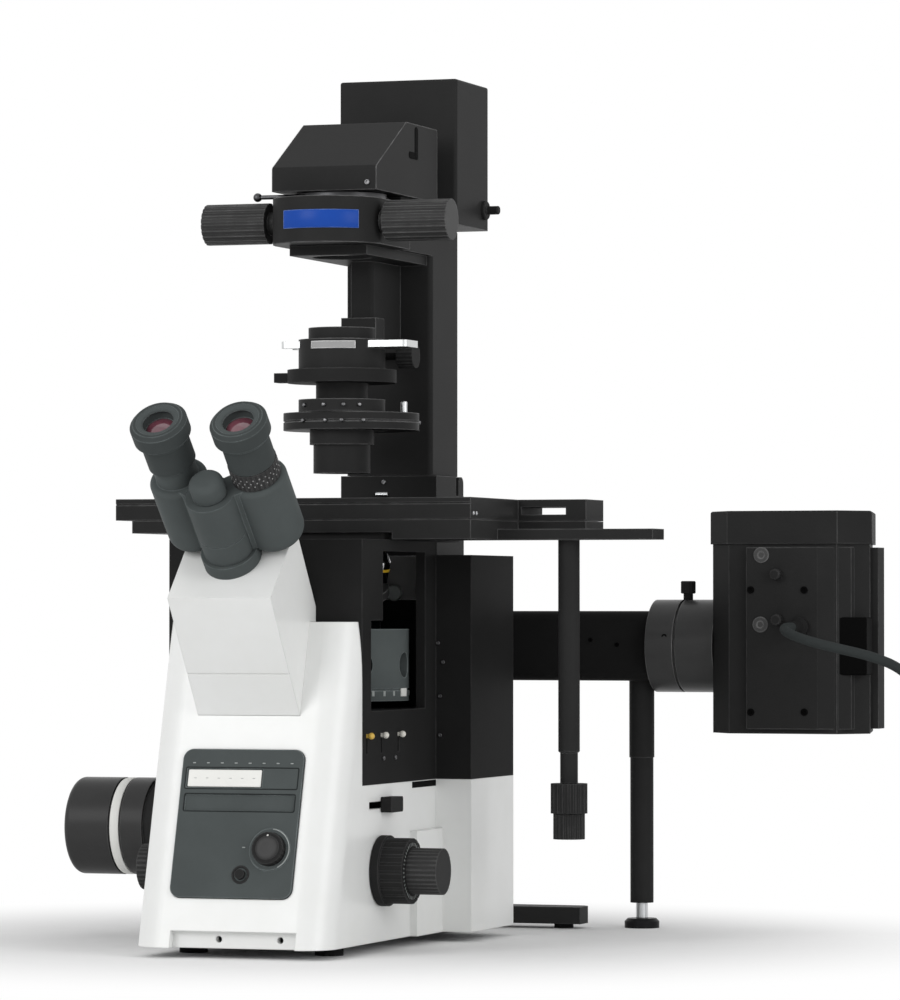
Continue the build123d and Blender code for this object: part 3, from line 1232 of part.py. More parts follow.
def arc_plan(z, inset):
    """Faceted plan of the lamp housing: bevelled in front, narrowing to the back on its right side."""
    left, right = arc_left_x + inset, ARC_RIGHT_X - inset
    front, back = arc_front_y + inset, arc_front_y + ARC_DEPTH - inset
    shoulder = arc_front_y + ARC_BEVEL_DEPTH
    return plan_slab(
        [
            (arc_left_x + ARC_BEVEL + inset / 2, front),
            (ARC_RIGHT_X - ARC_BEVEL - inset / 2, front),
            (right, shoulder),
            (right - ARC_TAPER, back),
            (left + ARC_BEVEL, back),
            (left, back - ARC_BEVEL),
            (left, shoulder),
        ],
        z,
    )


def arc_lamp_body():
    """Hollow lamp housing with the raised service plate in front and the socket module on the right."""
    body = arc_plan((ARC_LOW_Z, ARC_SPLIT_Z), ARC_STEP)
    plate_z = (ARC_LOW_Z + 4.0, ARC_SPLIT_Z - 3.0)
    left, right = ARC_PLATE_X
    wedge_y = arc_plate_y + 10.0
    body += plan_slab(
        [
            (left, arc_plate_y),
            (right, arc_plate_y),
            (right + ARC_WEDGE, wedge_y),
            (right + ARC_WEDGE, wedge_y + 2 * WALL),
            (left, wedge_y + 2 * WALL),
        ],
        plate_z,
    )
    body += block(ARC_MODULE_X, ARC_MODULE_Y, plate_z)
    body -= arc_plan((ARC_LOW_Z + WALL, ARC_SPLIT_Z), ARC_STEP + WALL)
    return body - rod("x", (ILLUM_Y, illum_z), (arc_left_x, arc_left_x + 2 * WALL), BEAM_R)


def arc_lamp_cap():
    """Vented cap over the lamp housing, with slots along its front and back."""
    cap = arc_plan((ARC_SPLIT_Z, ARC_HIGH_Z), 0)
    cap = fillet(cap.faces().sort_by(Axis.Z)[-1].edges(), 2.0)
    cap -= arc_plan((ARC_SPLIT_Z, ARC_HIGH_Z - WALL), ARC_STEP + WALL)
    middle_x = (arc_left_x + ARC_RIGHT_X) / 2
    for place in GridLocations(9.0, 1.0, 9, 1):
        cap -= Pos(middle_x, ILLUM_Y, ARC_HIGH_Z) * place * Box(4.0, ARC_DEPTH * 0.62, 3 * WALL)
    return cap


def arc_bulb():
    """Arc lamp between its upper and lower holders, at the height of the tube."""
    middle_x = (arc_left_x + ARC_RIGHT_X) / 2
    low, high = illum_z - ARC_BULB_BELOW, illum_z + ARC_BULB_ABOVE
    holder = rod("z", (middle_x, ILLUM_Y), (ARC_LOW_Z + WALL, low), ARC_HOLDER_R)
    return holder + rod("z", (middle_x, ILLUM_Y), (low - 1.0, high), ARC_BULB_R)


def support_leg():
    """Post that carries the far end of the illuminator tube."""
    post = rod("z", (LEG_X, ILLUM_Y), (LEG_JOINT_Z, ILLUM_LOW_Z), LEG_R)
    post += rod("z", (LEG_X, ILLUM_Y), (LEG_LOW_Z, LEG_JOINT_Z), LEG_R - 0.8)
    hole_z = (LEG_LOW_Z, LEG_LOW_Z + LEG_STUD_L + LEG_STUD_SPARE)
    return post - rod("z", (LEG_X, ILLUM_Y), hole_z, LEG_STUD_R + SHAFT_GAP)


def leg_foot():
    """Levelling foot: stud in the post, lock nut and round pad."""
    pad = Pos(LEG_X, ILLUM_Y, LEG_FOOT_T / 2) * Cylinder(LEG_FOOT_R, LEG_FOOT_T)
    pad = chamfer(pad.edges().group_by(Axis.Z)[-1], 2.5)
    return pad + rod("z", (LEG_X, ILLUM_Y), (LEG_FOOT_T - 1, LEG_LOW_Z + LEG_STUD_L), LEG_STUD_R)


def cord_gland():
    """Tapered strain relief on the service plate, pointing towards the user."""
    profile = [
        (0, 0),
        (CORD_D, 0),
        (CORD_D, 5.0),
        (CORD_D * 0.72, 7.0),
        (CORD_D * 0.6, GLAND_L),
        (0, GLAND_L),
    ]
    return Pos(GLAND_X, arc_plate_y, GLAND_Z) * Rot(90, 0, 0) * lathe(profile)


def cord_route():
    """The cord's points from the gland to the coil, as steps from the gland's mouth."""
    exit_y = arc_plate_y - GLAND_L
    coil_x = COIL_X - COIL_MEAN_R - CORD_D * (COIL_TURNS_WIDE - 1) / 2
    points = [(GLAND_X + x, exit_y + y, GLAND_Z + z) for x, y, z in CORD_STEPS]
    landing = [(coil_x + 2.0, COIL_Y - 46.0, CORD_D / 2 + 7.0), (coil_x, COIL_Y - 24.0, CORD_D / 2)]
    return points + landing + [(coil_x, COIL_Y, CORD_D / 2)]


def bend_radii(points):
    """The largest radius that each corner's two runs allow."""
    radii = []
    for before, here, after in zip(points, points[1:], points[2:]):
        run_in = Vector(*here) - Vector(*before)
        run_out = Vector(*after) - Vector(*here)
        half_turn = math.radians(run_in.get_angle(run_out)) / 2
        radii.append(0.45 * min(run_in.length, run_out.length) / math.tan(half_turn))
    return radii


def lamp_cord():
    """The loose stretch of the lamp cord."""
    points = cord_route()
    radii = bend_radii(points)
    path = FilletPolyline(*points, radius=radii)
    section = Plane(origin=path @ 0, z_dir=path % 0) * Circle(CORD_D / 2)
    tube = sweep(section, path=path)
    expected = path.length * math.pi * (CORD_D / 2) ** 2
    print("cord radii", [round(r) for r in radii], "length", round(path.length))
    print("cord volume", round(tube.volume), "section times length", round(expected))
    return tube


def cord_coil():
    """Outer shape of the coiled rest of the cord: turns side by side in layers."""
    half = CORD_D * COIL_TURNS_WIDE / 2
    height = CORD_D * COIL_TURNS_HIGH
    ring = Cylinder(COIL_MEAN_R + half, height) - Cylinder(COIL_MEAN_R - half, height)
    start = Pos(-COIL_MEAN_R - half, -half * 2, 0) * Box(3 * CORD_D, half * 4, height)
    return Pos(COIL_X, COIL_Y, height / 2) * (ring - start)


def cord_connector():
    """Round locking connector at the far end of the cord, lying on top of the coil along its turns."""
    place = Pos(COIL_X - CONNECTOR_TAIL, COIL_Y + COIL_MEAN_R, CORD_D * COIL_TURNS_HIGH + CONNECTOR_R)
    profile = [
        (0, 0),
        (CONNECTOR_TAIL_R, 0),
        (CONNECTOR_R - 3, 10.0),
        (CONNECTOR_R - 3, 18.0),
        (CONNECTOR_R, 18.0),
        (CONNECTOR_R, CONNECTOR_L - 8.0),
        (CONNECTOR_R - 2, CONNECTOR_L - 8.0),
        (CONNECTOR_R - 2, CONNECTOR_L),
        (0, CONNECTOR_L),
    ]
    return place * Rot(0, 90, 0) * lathe(profile)


def model():
    """Every node of the part by name."""
    nodes = {
        "base_shell": base_shell(),
        "base_plate": base_plate(),
        "rubber_feet": rubber_feet(),
        "rear_outrigger": rear_outrigger(),
        "main_mirror": main_mirror(),
        "control_panel": control_panel(),
        "brightness_dial": brightness_dial(),
        "panel_button": panel_button(),
        "deck_frame": deck_frame(),
        "port_selector": port_selector(),
        "coarse_focus_knobs": coarse_focus(),
        "fine_focus_knobs": fine_focus(),
        "focus_carriage": focus_carriage(),
        "nosepiece": nosepiece(),
        "objectives": objectives(),
        "mirror_turret": mirror_turret(),
        "tube_base_cover": tube_base_cover(),
        "tube_lens": tube_lens(),
        "binocular_mount": binocular_mount(),
        "left_tube": tube_half(-1),
        "right_tube": tube_half(1),
        "left_eyepiece": eyepiece(-1),
        "right_eyepiece": eyepiece(1),
        "diopter_ring": diopter_ring(),
        "side_port": side_port(),
        "camera_body": camera_body(),
        "stage_base": stage_base(),
        "stage_y_plate": stage_y_plate(),
        "stage_y_knob": stage_y_knob(),
        "stage_x_knob": stage_x_knob(),
        "stage_x_plate": stage_x_plate(),
        "stage_insert": stage_insert(),
        "pillar_base": pillar_base(),
        "pillar": pillar(),
        "lens_drum": lens_drum(),
        "tilt_grips": tilt_grips(),
        "head_housing": head_housing(),
        "lamp_house": lamp_house(),
        "lamp_bulb": lamp_bulb(),
        "field_iris": field_iris(),
        "condenser_holder": condenser_holder(),
        "condenser_optics": condenser_optics(),
        "condenser_turret": condenser_turret(),
        "aperture_ring": aperture_ring(),
        "polarizer_slider": polarizer_slider(),
        "condenser_knob": condenser_knob(),
        "illuminator_tube": illuminator_tube(),
        "lamp_coupling": lamp_coupling(),
        "arc_lamp_body": arc_lamp_body(),
        "arc_lamp_cap": arc_lamp_cap(),
        "arc_bulb": arc_bulb(),
        "support_leg": support_leg(),
        "leg_foot": leg_foot(),
        "cord_gland": cord_gland(),
        "lamp_cord": lamp_cord(),
        "cord_coil": cord_coil(),
        "cord_connector": cord_connector(),
    }
    for index, y in enumerate(LEVER_YS, start=1):
        nodes[f"filter_lever_{index}"] = filter_lever(y)
    return nodes


if __name__ == "__main__":
    os.makedirs("parts", exist_ok=True)
    for name, shape in model().items():
        export_step(shape, f"parts/{name}.step")
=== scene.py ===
# %% [markdown]
# # Dressing an inverted microscope
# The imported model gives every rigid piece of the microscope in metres. The optical axis stands
# on the origin, +Z is up and the user sits at -Y. This lesson keeps those solids, gives each
# of them a finish, and adds the small fittings that are easier to draw here than in the solids.

# %% Load the frame
import math

import bmesh
import bpy
import numpy as np
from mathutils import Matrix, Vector


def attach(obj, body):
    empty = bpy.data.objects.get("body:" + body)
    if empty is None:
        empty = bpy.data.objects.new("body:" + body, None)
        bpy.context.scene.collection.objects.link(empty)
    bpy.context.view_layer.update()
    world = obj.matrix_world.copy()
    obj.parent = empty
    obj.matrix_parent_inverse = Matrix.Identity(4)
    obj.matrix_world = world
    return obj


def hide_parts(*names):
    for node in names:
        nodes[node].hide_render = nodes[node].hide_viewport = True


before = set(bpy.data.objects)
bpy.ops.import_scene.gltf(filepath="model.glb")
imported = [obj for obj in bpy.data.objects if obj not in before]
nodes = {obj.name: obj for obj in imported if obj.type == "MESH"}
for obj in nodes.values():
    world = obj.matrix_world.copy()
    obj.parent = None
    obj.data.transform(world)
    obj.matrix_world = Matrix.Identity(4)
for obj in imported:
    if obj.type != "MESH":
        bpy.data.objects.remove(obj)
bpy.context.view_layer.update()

MM = 0.001

# %% [markdown]
# ## The camera
# The picture was taken from far away and a little to the right of the user, almost level with
# the base. A long lens far off keeps upright edges upright. Setting the sensor on the picture's
# height means that the frame's width follows by itself.

# %% Camera
CAMERA_PLACE = (1.446, -3.932, 0.269)
CAMERA_HEADING = math.radians(19)
CAMERA_PITCH = math.radians(1.157)
SENSOR_MM, LENS_MM = 36.0, 187.2
camera_data = bpy.data.cameras.new("photo_camera")
camera_data.sensor_fit = "VERTICAL"
camera_data.sensor_height = SENSOR_MM
camera_data.lens = LENS_MM
camera = bpy.data.objects.new("photo_camera", camera_data)
camera.location = CAMERA_PLACE
camera.rotation_euler = (math.pi / 2 + CAMERA_PITCH, 0, CAMERA_HEADING)
bpy.context.scene.collection.objects.link(camera)
bpy.context.scene.camera = camera
bpy.context.scene.view_settings.view_transform = "Standard"
print("camera looks along", [round(-c, 3) for c in camera.matrix_basis.to_3x3().col[2]])

# %% [markdown]
# ## Small helpers for node trees
# A finish is a tree of shader nodes. Two helpers keep the cells short: one adds a node and
# wires or sets its inputs, the other opens a node group, which is how one effect is shared
# by many finishes. A third turns a colour as seen on a screen into the linear one shaders use.

# %% Node helpers
def add_node(tree, kind, inputs=None, **settings):
    """Adds a node; each input is either wired to a socket or set to a plain value."""
    new = tree.nodes.new(kind)
    for key, value in settings.items():
        setattr(new, key, value)
    for key, value in (inputs or {}).items():
        if isinstance(value, bpy.types.NodeSocket):
            tree.links.new(value, new.inputs[key])
        else:
            new.inputs[key].default_value = value
    return new


def open_group(name, inputs, outputs):
    """Makes an empty shader group with the named sockets."""
    tree = bpy.data.node_groups.new(name, "ShaderNodeTree")
    for label, kind in inputs.items():
        tree.interface.new_socket(label, in_out="INPUT", socket_type=kind)
    for label, kind in outputs.items():
        tree.interface.new_socket(label, in_out="OUTPUT", socket_type=kind)
    return tree, tree.nodes.new("NodeGroupInput").outputs, tree.nodes.new("NodeGroupOutput").inputs


def seen(red, green, blue):
    """A colour as it is seen on a screen, 0 to 255, as the linear colour that shaders use."""
    part = np.array((red, green, blue)) / 255
    linear = np.where(part > 0.04045, ((part + 0.055) / 1.055) ** 2.4, part / 12.92)
    return (*linear.tolist(), 1.0)


print("a middle grey of 128 is", round(seen(128, 128, 128)[0], 3), "in linear light")

# %% [markdown]
# ## The white sweep
# The microscope stands in front of a white studio sweep. Camera, metal and glass see it white at
# strength 1, while the light that falls on the object stays soft and moderate. One strength
# can't do both, so it depends on the kind of ray that asks.

# %% Sky
SKY_LIGHT = 0.58


def camera_sees(tree):
    """1 for camera, glossy and transmission rays, 0 for the light that falls on the object."""
    path = add_node(tree, "ShaderNodeLightPath")
    both = add_node(tree, "ShaderNodeMath", operation="MAXIMUM",
                    inputs={0: path.outputs["Is Camera Ray"], 1: path.outputs["Is Glossy Ray"]})
    return add_node(tree, "ShaderNodeMath", operation="MAXIMUM",
                    inputs={0: both.outputs[0], 1: path.outputs["Is Transmission Ray"]}).outputs[0]


world = bpy.data.worlds.new("white_sweep")
world.use_nodes = True
bpy.context.scene.world = world
sky = world.node_tree.nodes["Background"]
sky.inputs["Color"].default_value = (1, 1, 1, 1)
strength = add_node(world.node_tree, "ShaderNodeMath", operation="MULTIPLY_ADD",
                    inputs={0: camera_sees(world.node_tree), 1: 1 - SKY_LIGHT, 2: SKY_LIGHT})
world.node_tree.links.new(strength.outputs[0], sky.inputs["Strength"])
print("sky light", SKY_LIGHT, "of what the camera sees")

# %% [markdown]
# ## The table
# Near the object the table is a plain pale diffuse surface, so it keeps the shadow. Further away
# it turns into plain white and meets the sweep without an edge. A smooth step on the distance
# from the origin mixes the two.

# %% Table
FLOOR_HALF = 6.0
WHITE_FROM, WHITE_TO = 0.2, 0.6


def new_finish(name):
    """An empty material: the material itself, its node tree and its main shader."""
    finish = bpy.data.materials.new(name)
    finish.use_nodes = True
    return finish, finish.node_tree, finish.node_tree.nodes["Principled BSDF"]


corners = FLOOR_HALF * np.array([(-1, -1, 0), (1, -1, 0), (1, 1, 0), (-1, 1, 0)], float)
floor_mesh = bpy.data.meshes.new("table")
floor_mesh.from_pydata(corners.tolist(), [], [(0, 1, 2, 3)])
floor = bpy.data.objects.new("table", floor_mesh)
bpy.context.scene.collection.objects.link(floor)

table_paint, tree, near = new_finish("table_paint")
place = add_node(tree, "ShaderNodeTexCoord").outputs["Object"]
reach = add_node(tree, "ShaderNodeVectorMath", operation="LENGTH", inputs={0: place}).outputs["Value"]
far = add_node(tree, "ShaderNodeMapRange", interpolation_type="SMOOTHSTEP",
               inputs={"Value": reach, "From Min": WHITE_FROM, "From Max": WHITE_TO}).outputs["Result"]
speck = add_node(tree, "ShaderNodeTexNoise", inputs={"Vector": place, "Scale": 40.0}).outputs["Fac"]
pale = add_node(tree, "ShaderNodeMapRange", inputs={"Value": speck, "To Min": 0.88, "To Max": 0.92})
tree.links.new(pale.outputs["Result"], near.inputs["Base Color"])
near.inputs["Roughness"].default_value = 0.9
near.inputs["Specular IOR Level"].default_value = 0.1
white = add_node(tree, "ShaderNodeEmission")
share = add_node(tree, "ShaderNodeMath", operation="MULTIPLY", inputs={0: far, 1: camera_sees(tree)})
mixed = add_node(tree, "ShaderNodeMixShader",
                 inputs={0: share.outputs[0], 1: near.outputs[0], 2: white.outputs[0]})
tree.links.new(mixed.outputs[0], tree.nodes["Material Output"].inputs["Surface"])
floor_mesh.materials.append(table_paint)
print("table", 2 * FLOOR_HALF, "m wide, white from", WHITE_TO, "m on")

# %% [markdown]
# ## Lamps
# Three square soft boxes stand round the table: a strong key at the front left, a faint one
# overhead, and a fill on the right, which lights the side wall of the base. Large lamps give
# the soft shadow edges of a product picture.

# %% Lamps
def soft_box(name, place, aim, size, power):
    """A square area lamp at a place, turned so that its face looks at the aim."""
    data = bpy.data.lights.new(name, "AREA")
    data.shape, data.size, data.energy = "SQUARE", size, power
    lamp = bpy.data.objects.new(name, data)
    lamp.location = place
    lamp.rotation_euler = (Vector(place) - Vector(aim)).to_track_quat("Z", "Y").to_euler()
    bpy.context.scene.collection.objects.link(lamp)
    return lamp


lamps = [
    soft_box("key_box", (-1.3, -3.0, 1.6), (0.05, 0, 0.3), 1.6, 38),
    soft_box("top_box", (0.2, 0.2, 2.6), (0.1, 0, 0.3), 2.0, 4),
    soft_box("fill_box", (2.6, -1.2, 1.0), (0.1, 0, 0.3), 1.4, 20),
]
print("lamps:", [lamp.name for lamp in lamps])

# %% [markdown]
# ## Grain and drift
# Paint and moulded plastic have a fine grain, which is a noise used as a height. Colour and
# gloss drift a little over a large surface, which is a slower noise between two shades. Each
# effect is a group that only puts out values, so that the shader itself stays in each finish.

# %% Grain and drift groups
grain_group, given, put = open_group(
    "fine_grain", {"Scale": "NodeSocketFloat"}, {"Height": "NodeSocketFloat"})
spot = add_node(grain_group, "ShaderNodeTexCoord").outputs["Object"]
noise = add_node(grain_group, "ShaderNodeTexNoise",
                 inputs={"Vector": spot, "Scale": given["Scale"], "Detail": 3.0, "Roughness": 0.6})
grain_group.links.new(noise.outputs["Fac"], put["Height"])

drift_group, given, put = open_group(
    "colour_drift",
    {"Colour": "NodeSocketColor", "Other": "NodeSocketColor", "Roughness": "NodeSocketFloat"},
    {"Colour": "NodeSocketColor", "Roughness": "NodeSocketFloat"},
)
spot = add_node(drift_group, "ShaderNodeTexCoord").outputs["Object"]
cloud = add_node(drift_group, "ShaderNodeTexNoise",
                 inputs={"Vector": spot, "Scale": 14.0, "Detail": 5.0, "Roughness": 0.65}).outputs["Fac"]
cloud = add_node(drift_group, "ShaderNodeMapRange",
                 inputs={"Value": cloud, "From Min": 0.3, "From Max": 0.7}).outputs["Result"]
blend = add_node(drift_group, "ShaderNodeMix", data_type="RGBA",
                 inputs={0: cloud, 6: given["Colour"], 7: given["Other"]})
swing = add_node(drift_group, "ShaderNodeMapRange",
                 inputs={"Value": cloud, "To Min": 0.92, "To Max": 1.1}).outputs["Result"]
rough = add_node(drift_group, "ShaderNodeMath", operation="MULTIPLY",
                 inputs={0: given["Roughness"], 1: swing})
drift_group.links.new(blend.outputs[2], put["Colour"])
drift_group.links.new(rough.outputs[0], put["Roughness"])
print("groups:", grain_group.name, drift_group.name)

# %% [markdown]
# ## Rubbed edges and painted sheen
# Edges are never razor sharp, and hands rub them lighter. The lighter edge colour is also a
# painted highlight, standing in for the sheen that lamps put on rounded edges. A Bevel node gives
# the rounded normal, and how far that normal leans from the flat one is the mask for both the rub
# and the painted sheen. A coarse noise breaks the mask into patches, because real wear is uneven.

# %% Rubbed edge and painted sheen group
edge_sheen_group, given, put = open_group(
    "rubbed_edges_and_sheen", {"Radius": "NodeSocketFloat", "Wear_and_sheen": "NodeSocketFloat"},
    {"Mask": "NodeSocketFloat", "Normal": "NodeSocketVector"},
)
soft = add_node(edge_sheen_group, "ShaderNodeBevel", samples=4,
                inputs={"Radius": given["Radius"]}).outputs["Normal"]
flat = add_node(edge_sheen_group, "ShaderNodeNewGeometry").outputs["Normal"]
lean = add_node(edge_sheen_group, "ShaderNodeVectorMath", operation="DOT_PRODUCT", inputs={0: soft, 1: flat})
edge = add_node(edge_sheen_group, "ShaderNodeMapRange", inputs={
    "Value": lean.outputs["Value"], "From Min": 0.985, "From Max": 0.9}).outputs["Result"]
spot = add_node(edge_sheen_group, "ShaderNodeTexCoord").outputs["Object"]
patch = add_node(edge_sheen_group, "ShaderNodeTexNoise", inputs={"Vector": spot, "Scale": 70.0}).outputs["Fac"]
patch = add_node(edge_sheen_group, "ShaderNodeMapRange", inputs={
    "Value": patch, "From Min": 0.35, "From Max": 0.6, "To Min": 0.5}).outputs["Result"]
# Mask for the lighter edge colour: rubbed wear and a painted sheen together.
rub_and_sheen = add_node(edge_sheen_group, "ShaderNodeMath", operation="MULTIPLY", inputs={0: edge, 1: patch})
rub_and_sheen = add_node(edge_sheen_group, "ShaderNodeMath", operation="MULTIPLY",
               inputs={0: rub_and_sheen.outputs[0], 1: given["Wear_and_sheen"]})
edge_sheen_group.links.new(rub_and_sheen.outputs[0], put["Mask"])
edge_sheen_group.links.new(soft, put["Normal"])
print("group:", edge_sheen_group.name)

# %% [markdown]
# ## Painted and moulded surfaces
# Most of the microscope is painted or anodised aluminium and moulded plastic. They differ in
# colour, gloss and grain, so one function makes them all from those few numbers. Dark paints get
# a low specular level: in a white studio even black paint shows the room, and too much of it
# would turn black into grey.

# %% Coated surface
GRAIN_HEIGHT = 0.0006


def coated(name, colour, other, rub_and_sheen_colour, roughness, specular, grain, depth,
           radius=0.0013, wear_and_sheen=0.5, coat=0.0):
    """A paint or plastic: drifting colour, lighter edges of rubbed wear and painted sheen,
    and a grain as bump.
    """
    finish, tree, shader = new_finish(name)
    drift = add_node(tree, "ShaderNodeGroup", node_tree=drift_group,
                     inputs={"Colour": colour, "Other": other, "Roughness": roughness})
    edges = add_node(tree, "ShaderNodeGroup", node_tree=edge_sheen_group, inputs={"Radius": radius, "Wear_and_sheen": wear_and_sheen})
    # Edges take the third colour: rubbed wear and a painted sheen in one.
    worn_and_lit = add_node(tree, "ShaderNodeMix", data_type="RGBA",
                    inputs={0: edges.outputs["Mask"], 6: drift.outputs["Colour"], 7: rub_and_sheen_colour})
    height = add_node(tree, "ShaderNodeGroup", node_tree=grain_group, inputs={"Scale": grain})
    bump = add_node(tree, "ShaderNodeBump",
                    inputs={"Strength": depth, "Distance": GRAIN_HEIGHT, "Height": height.outputs["Height"],
                            "Normal": edges.outputs["Normal"]})
    tree.links.new(worn_and_lit.outputs[2], shader.inputs["Base Color"])
    tree.links.new(drift.outputs["Roughness"], shader.inputs["Roughness"])
    tree.links.new(bump.outputs["Normal"], shader.inputs["Normal"])
    shader.inputs["Specular IOR Level"].default_value = specular
    shader.inputs["Coat Weight"].default_value = coat
    return finish


def dark(name, level, tint=(1.0, 1.0, 1.0), roughness=0.4, specular=0.02,
         grain=1100.0, depth=0.12, wear_and_sheen=0.6, edge=5.0):
    """A dark finish that is seen at about this level, 0 to 255, in white studio light."""
    base = np.array(seen(*(level * np.array(tint)))[:3])
    # The third tone, edge times the base, lights the edges: rubbed wear and a painted highlight.
    tones = [(*(base * factor).tolist(), 1.0) for factor in (0.9, 1.1, edge)]
    return coated(name, *tones, roughness, specular, grain, depth, wear_and_sheen=wear_and_sheen)


print("grain is up to", GRAIN_HEIGHT / MM, "mm high")

# %% [markdown]
# ## The coated finishes
# One glossy enamel covers the cast base. The rest is a family of blacks and greys, each named
# for where it is used and told apart by how light it is seen, how glossy it is and how much its
# edges are lightened, which is rubbed wear and a painted highlight together.

# %% Coated finishes
GREENISH = (0.94, 1.0, 1.0)
# The enamel's third colour lights its edges: rubbed wear and a painted sheen.
white_enamel = coated("white_enamel", seen(236, 237, 236), seen(231, 232, 230), seen(246, 246, 244),
                      0.34, 0.4, 700.0, 0.05, radius=0.0015, wear_and_sheen=0.3, coat=0.08)
# Each edge factor below lifts the edge colour: rubbed wear and a painted highlight.
deck_black = dark("deck_black", 38, specular=0.006)
stage_black = dark("stage_black", 45, wear_and_sheen=0.8, edge=7.0)
head_black = dark("head_black", 45, wear_and_sheen=1.0, edge=12.0)
leg_black = dark("leg_black", 47)
# Near black that hardly reflects: painted shade in slots, and the black of small fittings.
black_and_slot_shade = dark("black_and_slot_shade", 13, specular=0.005, wear_and_sheen=0.0)
lamp_black = dark("lamp_black", 42, roughness=0.5, grain=800.0, depth=0.2, wear_and_sheen=0.8, edge=6.0)
tube_black = dark("tube_black", 31)
camera_black = dark("camera_black", 60, specular=0.1, roughness=0.3)
condenser_black = dark("condenser_black", 48, wear_and_sheen=1.0, edge=9.0)
housing_grey = dark("housing_grey", 84, GREENISH, roughness=0.48, wear_and_sheen=0.3)
turret_grey = dark("turret_grey", 92, GREENISH, roughness=0.45)
panel_grey = dark("panel_grey", 82, GREENISH, roughness=0.55, grain=1500.0)
coupling_grey = dark("coupling_grey", 66, specular=0.12, roughness=0.3, wear_and_sheen=0.9)
eyepiece_grey = dark("eyepiece_grey", 70, GREENISH, roughness=0.5, grain=1600.0, depth=0.2)
knob_plastic = dark("knob_plastic", 42, roughness=0.5, grain=1600.0, depth=0.2)
fine_plastic = dark("fine_plastic", 54, roughness=0.5, grain=1600.0, depth=0.2)
grip_rubber = dark("grip_rubber", 50, specular=0.08, roughness=0.35, grain=1300.0, depth=0.15, wear_and_sheen=1.0)
foot_rubber = dark("foot_rubber", 36, roughness=0.75, grain=900.0, depth=0.5, wear_and_sheen=0.2)
lead_rubber = dark("lead_rubber", 56, GREENISH, roughness=0.6, grain=1500.0, depth=0.25, wear_and_sheen=0.0)
print("coated finishes:", [finish.name for finish in (white_enamel, deck_black, panel_grey)], "and more")

# %% [markdown]
# ## Bare metal and glass
# Turned steel keeps the fine lines of the tool, which a noise drawn out along two axes gives as
# roughness. Chrome is smoother. Glass is clear with a faint coating. The levelling foot is bare
# on its stud and painted below, so its colour changes at a height.

# %% Metal and glass
TOOL_LINES = (200.0, 200.0, 3000.0)
PAINT_EDGE = 0.0002


def metal(name, colour, other, roughness):
    """Bare metal whose roughness follows tool lines: a noise stretched along two axes."""
    finish, tree, shader = new_finish(name)
    place = add_node(tree, "ShaderNodeTexCoord").outputs["Object"]
    lines = add_node(tree, "ShaderNodeMapping", inputs={"Vector": place, "Scale": TOOL_LINES})
    noise = add_node(tree, "ShaderNodeTexNoise",
                     inputs={"Vector": lines.outputs[0], "Scale": 1.0, "Detail": 2.0})
    rough = add_node(tree, "ShaderNodeMapRange", inputs={
        "Value": noise.outputs["Fac"], "To Min": 0.7 * roughness, "To Max": 1.4 * roughness})
    drift = add_node(tree, "ShaderNodeGroup", node_tree=drift_group,
                     inputs={"Colour": colour, "Other": other, "Roughness": roughness})
    edges = add_node(tree, "ShaderNodeGroup", node_tree=edge_sheen_group, inputs={"Radius": 0.0005, "Wear_and_sheen": 0.0})
    tree.links.new(drift.outputs["Colour"], shader.inputs["Base Color"])
    tree.links.new(rough.outputs["Result"], shader.inputs["Roughness"])
    tree.links.new(edges.outputs["Normal"], shader.inputs["Normal"])
    shader.inputs["Metallic"].default_value = 1.0
    return finish


def glass(name, colour, roughness=0.02):
    """Clear glass: full transmission, with a faint drift of the coating's colour."""
    finish, tree, shader = new_finish(name)
    drift = add_node(tree, "ShaderNodeGroup", node_tree=drift_group,
                     inputs={"Colour": colour, "Other": (1, 1, 1, 1), "Roughness": roughness})
    tree.links.new(drift.outputs["Colour"], shader.inputs["Base Color"])
    tree.links.new(drift.outputs["Roughness"], shader.inputs["Roughness"])
    shader.inputs["Transmission Weight"].default_value = 1.0
    shader.inputs["IOR"].default_value = 1.5
    return finish


def blackened_below(finish, height):
    """Mixes a finish's colour to black paint below this height; the stud above it stays bare."""
    tree = finish.node_tree
    shader = tree.nodes["Principled BSDF"]
    place = add_node(tree, "ShaderNodeTexCoord").outputs["Object"]
    level = add_node(tree, "ShaderNodeSeparateXYZ", inputs={0: place}).outputs["Z"]
    bare = add_node(tree, "ShaderNodeMapRange", inputs={
        "Value": level, "From Min": height - PAINT_EDGE, "From Max": height + PAINT_EDGE}).outputs["Result"]
    worn_and_lit = shader.inputs["Base Color"].links[0].from_socket
    mixed = add_node(tree, "ShaderNodeMix", data_type="RGBA", inputs={0: bare, 6: seen(36, 36, 37), 7: worn_and_lit})
    tree.links.new(mixed.outputs[2], shader.inputs["Base Color"])
    tree.links.new(bare, shader.inputs["Metallic"])
    shader.inputs["Specular IOR Level"].default_value = 0.05
    return finish


